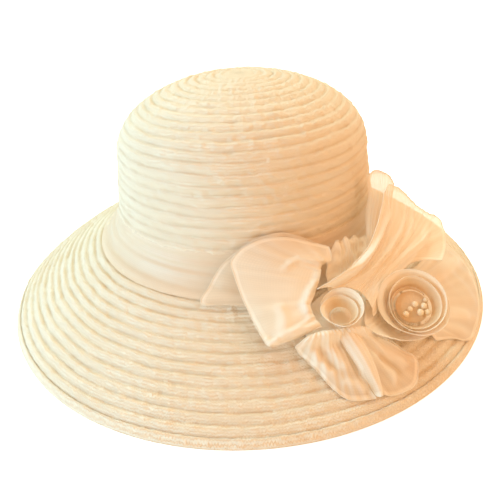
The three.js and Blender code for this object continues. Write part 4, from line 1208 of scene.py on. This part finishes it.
def braid_material(settings):
    """Matt ivory braid, plaited from flat strips about 2 mm wide: dull, dry and a little grainy, with
    a darker line where the strips cross and a faint change of tone from place to place. Its colour is also
    darkened in the creases between the rows, as painted shade."""
    material, tree, output = new_material("sewn_ivory_braid")
    texture = add_node(tree, "ShaderNodeTexCoord")
    body = texture.outputs["Object"]

    # The plait's map, in millimetres, is moved about a little by noise, so that no strip is straight.
    noise = add_node(tree, "ShaderNodeTexNoise", {"Vector": body, "Scale": 260.0, "Detail": 1.0})
    inputs = {0: noise.outputs[1], 1: PLAIT_STRAY, 2: texture.outputs["UV"]}
    place = add_node(tree, "ShaderNodeVectorMath", inputs, operation="MULTIPLY_ADD")
    uv = add_node(tree, "ShaderNodeSeparateXYZ", {0: place.outputs[0]})
    plait = plait_height(tree, uv.outputs[0], uv.outputs[1], PLAIT / 2)

    inputs = {"Vector": body, "Scale": 28.0, "Detail": 3.0, "Roughness": 0.5}
    patches = add_node(tree, "ShaderNodeTexNoise", inputs).outputs[0]
    inputs = {"Vector": body, "Scale": 420.0, "Detail": 2.0, "Roughness": 0.6}
    grain = add_node(tree, "ShaderNodeTexNoise", inputs).outputs[0]

    # The strips are palest at their middle, and the line between two of them is darker. A crease is
    # darkened too, as painted shade.
    inputs = {0: patches, 6: (*settings.light, 1), 7: (*settings.shade, 1)}
    tone = add_node(tree, "ShaderNodeMix", inputs, data_type="RGBA").outputs[2]
    inputs = {"Value": plait, "From Min": 0.0, "From Max": 0.6, "To Min": 0.82, "To Max": 1.0}
    shown = add_node(tree, "ShaderNodeMapRange", inputs).outputs[0]
    crease = add_node(tree, "ShaderNodeAttribute", attribute_name="cover").outputs["Fac"]
    inputs = {0: crease, 1: -0.4, 2: shown}
    shown = add_node(tree, "ShaderNodeMath", inputs, operation="MULTIPLY_ADD").outputs[0]
    inputs = {0: shown, 6: (*settings.gap, 1), 7: tone}
    colour = add_node(tree, "ShaderNodeMix", inputs, data_type="RGBA").outputs[2]

    inputs = {0: grain, 1: 0.6, 2: plait}
    relief = add_node(tree, "ShaderNodeMath", inputs, operation="MULTIPLY_ADD").outputs[0]
    bump = add_node(tree, "ShaderNodeBump", {"Strength": 0.8, "Distance": 0.35 * MM, "Height": relief})
    roughness = add_node(tree, "ShaderNodeMapRange", {"Value": grain, "To Min": 0.72, "To Max": 0.92})
    inputs = {
        "Base Color": colour,
        "Roughness": roughness.outputs[0],
        "IOR": 1.48,
        "Specular IOR Level": 0.35,
        "Sheen Weight": 0.08,
        "Normal": bump.outputs[0],
    }
    shader = add_node(tree, "ShaderNodeBsdfPrincipled", inputs)
    tree.links.new(shader.outputs[0], output.inputs[0])
    return material


def organza_material(settings, name, single, gathered):
    """Sheer polyester organza of fine stiff threads: see-through where it is single, closer to solid
    where it is gathered or hemmed, with a soft silky shine. The threads are 0.2 mm apart and would
    not show, so they are drawn 1.1 mm apart and faint."""
    material, tree, output = new_material(name)
    texture = add_node(tree, "ShaderNodeTexCoord")
    cover = add_node(tree, "ShaderNodeAttribute", attribute_name="cover").outputs["Fac"]
    deep = add_node(tree, "ShaderNodeAttribute", attribute_name="deep").outputs["Fac"]

    # The weave is the product of two waves from 0 to 1, one for each direction of the threads.
    uv = add_node(tree, "ShaderNodeSeparateXYZ", {0: texture.outputs["UV"]})
    threads = []
    for distance in (uv.outputs[0], uv.outputs[1]):
        inputs = {0: distance, 1: 2 * math.pi / THREAD_SPACING}
        turn = add_node(tree, "ShaderNodeMath", inputs, operation="MULTIPLY").outputs[0]
        sine = add_node(tree, "ShaderNodeMath", {0: turn}, operation="SINE").outputs[0]
        wave = add_node(tree, "ShaderNodeMath", {0: sine, 1: 0.5, 2: 0.5}, operation="MULTIPLY_ADD")
        threads.append(wave.outputs[0])
    inputs = {0: threads[0], 1: threads[1]}
    weave = add_node(tree, "ShaderNodeMath", inputs, operation="MULTIPLY").outputs[0]

    inputs = {"Vector": texture.outputs["Object"], "Scale": 60.0, "Detail": 3.0, "Roughness": 0.55}
    patches = add_node(tree, "ShaderNodeTexNoise", inputs).outputs[0]
    inputs = {0: patches, 6: (*settings.cloth, 1), 7: (*settings.cloth_shade, 1)}
    colour = add_node(tree, "ShaderNodeMix", inputs, data_type="RGBA").outputs[2]
    # Gathered and hemmed cloth takes the paler hem colour by its cover. Where cover is raised on raised
    # folds or on pieces that lie in shade, that paler colour is painted light.
    inputs = {0: cover, 6: colour, 7: (*settings.hem, 1)}
    colour = add_node(tree, "ShaderNodeMix", inputs, data_type="RGBA").outputs[2]
    # deep turns the cloth a deeper gold in the roses' depths and in sunken folds: painted shade, with the
    # tint of cloth lying layer on layer.
    inputs = {0: deep, 6: colour, 7: (*settings.deep, 1)}
    colour = add_node(tree, "ShaderNodeMix", inputs, data_type="RGBA").outputs[2]

    # The weave is 0.25 on average, so the cloth stops as much light as it would without.
    less = 0.25 * WEAVE_CHANGE
    inputs = {"Value": cover, "To Min": single - less, "To Max": gathered - less}
    alpha = add_node(tree, "ShaderNodeMapRange", inputs).outputs[0]
    inputs = {0: weave, 1: WEAVE_CHANGE, 2: alpha}
    alpha = add_node(tree, "ShaderNodeMath", inputs, operation="MULTIPLY_ADD").outputs[0]
    bump = add_node(tree, "ShaderNodeBump", {"Strength": 0.12, "Distance": 0.08 * MM, "Height": weave})
    inputs = {
        "Base Color": colour,
        "Roughness": 0.42,
        "IOR": 1.5,
        "Alpha": alpha,
        "Normal": bump.outputs[0],
        "Specular IOR Level": 0.4,
        "Sheen Weight": 0.5,
        "Sheen Roughness": 0.4,
    }
    front = add_node(tree, "ShaderNodeBsdfPrincipled", inputs).outputs[0]
    through = add_node(tree, "ShaderNodeBsdfTranslucent", {"Color": colour}).outputs[0]
    both = add_node(tree, "ShaderNodeMixShader", {0: THROUGH_SHARE, 1: front, 2: through})
    tree.links.new(both.outputs[0], output.inputs[0])
    return material


def pearl_material(settings):
    """Imitation pearl, a bead dipped in a pale lustre and lacquered: a soft milky body under a clear,
    sharp highlight, a little rosier in patches."""
    material, tree, output = new_material("lacquered_pearl_bead")
    texture = add_node(tree, "ShaderNodeTexCoord")
    inputs = {"Vector": texture.outputs["Object"], "Scale": 700.0, "Detail": 1.0}
    patches = add_node(tree, "ShaderNodeTexNoise", inputs).outputs[0]
    inputs = {0: patches, 6: (*settings.pearl, 1), 7: (*settings.pearl_rose, 1)}
    colour = add_node(tree, "ShaderNodeMix", inputs, data_type="RGBA").outputs[2]
    inputs = {
        "Base Color": colour,
        "Roughness": 0.22,
        "IOR": 1.55,
        "Coat Weight": 0.8,
        "Coat Roughness": 0.05,
        "Sheen Weight": 0.3,
        "Sheen Roughness": 0.3,
    }
    shader = add_node(tree, "ShaderNodeBsdfPrincipled", inputs)
    tree.links.new(shader.outputs[0], output.inputs[0])
    return material


# Settings and operators


def colour_property(name, description, hex_colour):
    """A colour setting whose default is an sRGB hex value turned to linear."""
    return bpy.props.FloatVectorProperty(
        name=name,
        description=description,
        subtype="COLOR",
        size=3,
        min=0,
        max=1,
        default=linear(hex_colour),
    )


class BraidSettings(bpy.types.PropertyGroup):
    """The braid's colours."""

    light: colour_property("Light", "The braid where it is palest", "#f8ead4")
    shade: colour_property("Shade", "The braid where it is a little darker", "#f3dfc2")
    # This colour is the line between strips and also the painted shade in the creases between rows.
    gap: colour_property("Gap", "The line between two strips", "#d8bc92")


class ClothSettings(bpy.types.PropertyGroup):
    """The organza's and the pearls' colours and the hem."""

    hem_width: bpy.props.FloatProperty(
        name="Hem width",
        description="Width of the doubled edge",
        default=0.0022,
        unit="LENGTH",
        min=0.0005,
        max=0.01,
    )
    hem_roll: bpy.props.FloatProperty(
        name="Hem roll",
        description="Thickness of the rolled fold",
        default=0.0006,
        unit="LENGTH",
        min=0.0002,
        max=0.003,
    )
    cloth: colour_property("Cloth", "Single organza", "#fdead0")
    cloth_shade: colour_property("Cloth shade", "Single organza where it is a little darker", "#fae1c2")
    # The hem colour also paints raised folds and shaded pieces paler, as painted light.
    hem: colour_property("Hem", "Organza where it is gathered or hemmed", "#fff0da")
    # The deep colour is painted shade in the roses' depths and in sunken folds.
    deep: colour_property("Deep cloth", "Organza in the depth of a rose, layer on layer", "#f6d6a8")
    pearl: colour_property("Pearl", "The pearls' colour", "#f9e8ca")
    pearl_rose: colour_property("Pearl rose", "The pearls' deeper tone", "#f3d9b2")


class StageSettings(bpy.types.PropertyGroup):
    """The floor and the lights."""

    floor: colour_property("Floor", "The floor's colour", "#fbfaf8")
    floor_glow: bpy.props.FloatProperty(
        name="Floor glow", description="White added to the floor as seen", default=0.8, min=0
    )
    ambient: bpy.props.FloatProperty(
        name="Ambient", description="Strength of the light from all round", default=0.8, min=0
    )
    ambient_tint: colour_property("Ambient tint", "The colour of the light from all round", "#ffcd96")
    warm: colour_property("Warm light", "The light from the right", "#ffc49f")
    cool: colour_property("Cool light", "The light from the left", "#8ed9ff")
    top: colour_property("Top light", "The light from above and behind", "#c0ffff")
    warm_power: bpy.props.FloatProperty(
        name="Warm power", description="Watts of the light from the right", default=5.5, unit="POWER", min=0
    )
    cool_power: bpy.props.FloatProperty(
        name="Cool power", description="Watts of the light from the left", default=20.0, unit="POWER", min=0
    )
    top_power: bpy.props.FloatProperty(
        name="Top power", description="Watts of the light from above", default=10.5, unit="POWER", min=0
    )


class HAT_OT_crown(bpy.types.Operator):
    """Builds the crown of sewn braid"""

    bl_idname = "wedding_hat.crown"
    bl_label = "Build Crown"

    def execute(self, context):
        place_piece(make_crown(), "crown", braid_material(context.scene.hat_braid))
        return {"FINISHED"}


class HAT_OT_brim(bpy.types.Operator):
    """Builds the brim of sewn braid"""

    bl_idname = "wedding_hat.brim"
    bl_label = "Build Brim"

    def execute(self, context):
        place_piece(make_brim(), "brim", bpy.data.materials["sewn_ivory_braid"])
        return {"FINISHED"}


class HAT_OT_band(bpy.types.Operator):
    """Builds the sheer band over the corner"""

    bl_idname = "wedding_hat.band"
    bl_label = "Build Band"

    def execute(self, context):
        obj = band_piece("band_cloth")
        material = organza_material(context.scene.hat_cloth, "sheer_band_organza", *BAND_ALPHA)
        place_piece(obj, "hat_band", material)
        return {"FINISHED"}


class HAT_OT_petals(bpy.types.Operator):
    """Builds the petals and the gathered knot under them"""

    bl_idname = "wedding_hat.petals"
    bl_label = "Build Petals"

    def execute(self, context):
        settings = context.scene.hat_cloth
        material = organza_material(settings, "gathered_flower_organza", *FLOWER_ALPHA)
        place_piece(knot_piece("knot_cloth"), "flower_knot", material)
        for node, petal in PETALS.items():
            obj = petal_piece(f"{node}_cloth", petal, settings)
            place_piece(obj, node, material)
        return {"FINISHED"}


class HAT_OT_roses(bpy.types.Operator):
    """Builds the two coiled roses and the heart of the large one"""

    bl_idname = "wedding_hat.roses"
    bl_label = "Build Roses"

    def execute(self, context):
        settings = context.scene.hat_cloth
        material = bpy.data.materials["gathered_flower_organza"]
        for node, coil in (("rose", ROSE), ("rosette", ROSETTE)):
            obj = coil_piece(f"{node}_cloth", coil, settings)
            place_piece(obj, node, material)
        place_piece(heart_piece("heart_cloth"), "rose_heart", material)
        return {"FINISHED"}


class HAT_OT_pearls(bpy.types.Operator):
    """Builds the pearls in the heart of the rose"""

    bl_idname = "wedding_hat.pearls"
    bl_label = "Build Pearls"

    def execute(self, context):
        material = pearl_material(context.scene.hat_cloth)
        for number, pearl in enumerate(PEARLS, 1):
            bead = pearl_piece(f"pearl_bead_{number}", pearl, 110 + number)
            place_piece(bead, f"pearl_{number}", material)
        return {"FINISHED"}


# The camera: where it stands, which way it looks and how wide.
CAMERA_PLACE = (41.7, -342.3, 205.4)
CAMERA_YAW = math.radians(-6.69)
CAMERA_DOWN = math.radians(28.97)
CAMERA_ROLL = math.radians(2.89)
CAMERA_LENS = 37.08

# In metres: how far the floor reaches, the lights' width and places, and the point they shine at.
FLOOR_REACH = 6.0
LIGHT_WIDTH = 0.9
LIGHT_AIM = (0, 0, 0.06)
LIGHT_PLACES = {"warm": (1.15, -0.3, 0.85), "cool": (-1.2, -0.6, 0.42), "top": (-0.1, 0.6, 1.15)}


def camera_matrix():
    """The camera's axes and place: it looks along forward, and roll turns right and up about it."""
    forward = np.array(
        [
            math.sin(CAMERA_YAW) * math.cos(CAMERA_DOWN),
            math.cos(CAMERA_YAW) * math.cos(CAMERA_DOWN),
            -math.sin(CAMERA_DOWN),
        ]
    )
    right = np.array([math.cos(CAMERA_YAW), -math.sin(CAMERA_YAW), 0.0])
    up = np.cross(right, forward)
    matrix = np.eye(4)
    matrix[:3, 0] = math.cos(CAMERA_ROLL) * right - math.sin(CAMERA_ROLL) * up
    matrix[:3, 1] = math.sin(CAMERA_ROLL) * right + math.cos(CAMERA_ROLL) * up
    matrix[:3, 2] = -forward
    matrix[:3, 3] = np.array(CAMERA_PLACE) * MM
    return Matrix(matrix.tolist())


def area_light(name, place, power, colour):
    """A square soft light at a place in metres, turned to shine at the hat."""
    data = bpy.data.lights.new(name, "AREA")
    data.size = LIGHT_WIDTH
    data.energy = power
    data.color = colour
    lamp = bpy.data.objects.new(name, data)
    bpy.context.scene.collection.objects.link(lamp)
    back = unit(np.array(place, float) - np.array(LIGHT_AIM, float))
    side = unit(np.cross([0, 0, 1], back))
    matrix = np.eye(4)
    matrix[:3, :3] = np.stack([side, np.cross(back, side), back], axis=1)
    matrix[:3, 3] = place
    lamp.matrix_world = Matrix(matrix.tolist())


def floor_material(settings):
    """A painted studio floor: matt and near white, with a white glow that only the camera sees, so that
    it is as plain as the photograph's background."""
    material, tree, output = new_material("painted_studio_floor")
    inputs = {"Base Color": (*settings.floor, 1), "Roughness": 0.9, "Specular IOR Level": 0.1}
    paint = add_node(tree, "ShaderNodeBsdfPrincipled", inputs)
    seen = add_node(tree, "ShaderNodeLightPath").outputs["Is Camera Ray"]
    inputs = {0: seen, 1: settings.floor_glow}
    strength = add_node(tree, "ShaderNodeMath", inputs, operation="MULTIPLY")
    glow = add_node(tree, "ShaderNodeEmission", {"Color": (1, 1, 1, 1), "Strength": strength.outputs[0]})
    both = add_node(tree, "ShaderNodeAddShader", {0: paint.outputs[0], 1: glow.outputs[0]})
    tree.links.new(both.outputs[0], output.inputs[0])
    return material


class HAT_OT_stage(bpy.types.Operator):
    """Builds the camera, the floor and the lights"""

    bl_idname = "wedding_hat.stage"
    bl_label = "Build Stage"

    def execute(self, context):
        settings = context.scene.hat_stage
        scene = context.scene
        camera_data = bpy.data.cameras.new("camera")
        camera_data.lens = CAMERA_LENS
        camera_data.sensor_width = 36
        camera_data.clip_start = 0.01
        camera = bpy.data.objects.new("camera", camera_data)
        scene.collection.objects.link(camera)
        camera.matrix_world = camera_matrix()
        scene.camera = camera
        scene.view_settings.view_transform = "Standard"

        far = FLOOR_REACH
        corners = [(-far, -far, 0), (far, -far, 0), (far, far, 0), (-far, far, 0)]
        mesh = bpy.data.meshes.new("floor")
        mesh.from_pydata(corners, [], [(0, 1, 2, 3)])
        floor = bpy.data.objects.new("floor", mesh)
        scene.collection.objects.link(floor)
        mesh.materials.append(floor_material(settings))

        # The camera sees plain white behind the hat, and the hat gets a warm light from all round.
        world = bpy.data.worlds.new("studio")
        scene.world = world
        world.use_nodes = True
        sky = world.node_tree
        background = sky.nodes["Background"]
        seen = add_node(sky, "ShaderNodeLightPath").outputs["Is Camera Ray"]
        inputs = {"Value": seen, "To Min": settings.ambient, "To Max": 1.0}
        strength = add_node(sky, "ShaderNodeMapRange", inputs)
        inputs = {0: seen, 6: (*settings.ambient_tint, 1), 7: (1, 1, 1, 1)}
        colour = add_node(sky, "ShaderNodeMix", inputs, data_type="RGBA")
        sky.links.new(colour.outputs[2], background.inputs[0])
        sky.links.new(strength.outputs[0], background.inputs[1])
        area_light("warm_light", LIGHT_PLACES["warm"], settings.warm_power, settings.warm)
        area_light("cool_light", LIGHT_PLACES["cool"], settings.cool_power, settings.cool)
        area_light("top_light", LIGHT_PLACES["top"], settings.top_power, settings.top)
        return {"FINISHED"}


class HAT_PT_panel(bpy.types.Panel):
    """Lists the steps that build the hat"""

    bl_label = "Wedding Hat"
    bl_idname = "HAT_PT_panel"
    bl_space_type = "VIEW_3D"
    bl_region_type = "UI"
    bl_category = "Wedding Hat"

    def draw(self, context):
        for operator in OPERATORS:
            self.layout.operator(operator.bl_idname)
        for group in (context.scene.hat_braid, context.scene.hat_cloth, context.scene.hat_stage):
            for key in group.__annotations__:
                self.layout.prop(group, key)


OPERATORS = (
    HAT_OT_stage,
    HAT_OT_crown,
    HAT_OT_brim,
    HAT_OT_band,
    HAT_OT_petals,
    HAT_OT_roses,
    HAT_OT_pearls,
)
CLASSES = (BraidSettings, ClothSettings, StageSettings, *OPERATORS, HAT_PT_panel)


def register():
    """Adds the classes and the settings of a scene."""
    for each in CLASSES:
        bpy.utils.register_class(each)
    bpy.types.Scene.hat_braid = bpy.props.PointerProperty(type=BraidSettings)
    bpy.types.Scene.hat_cloth = bpy.props.PointerProperty(type=ClothSettings)
    bpy.types.Scene.hat_stage = bpy.props.PointerProperty(type=StageSettings)


def unregister():
    """Takes the settings and the classes away again."""
    del bpy.types.Scene.hat_braid
    del bpy.types.Scene.hat_cloth
    del bpy.types.Scene.hat_stage
    for each in reversed(CLASSES):
        bpy.utils.unregister_class(each)


def main():
    """Builds the whole scene."""
    register()
    bpy.ops.wedding_hat.stage()
    bpy.ops.wedding_hat.crown()
    bpy.ops.wedding_hat.brim()
    bpy.ops.wedding_hat.band()
    bpy.ops.wedding_hat.petals()
    bpy.ops.wedding_hat.roses()
    bpy.ops.wedding_hat.pearls()


if __name__ == "__main__":
    main()
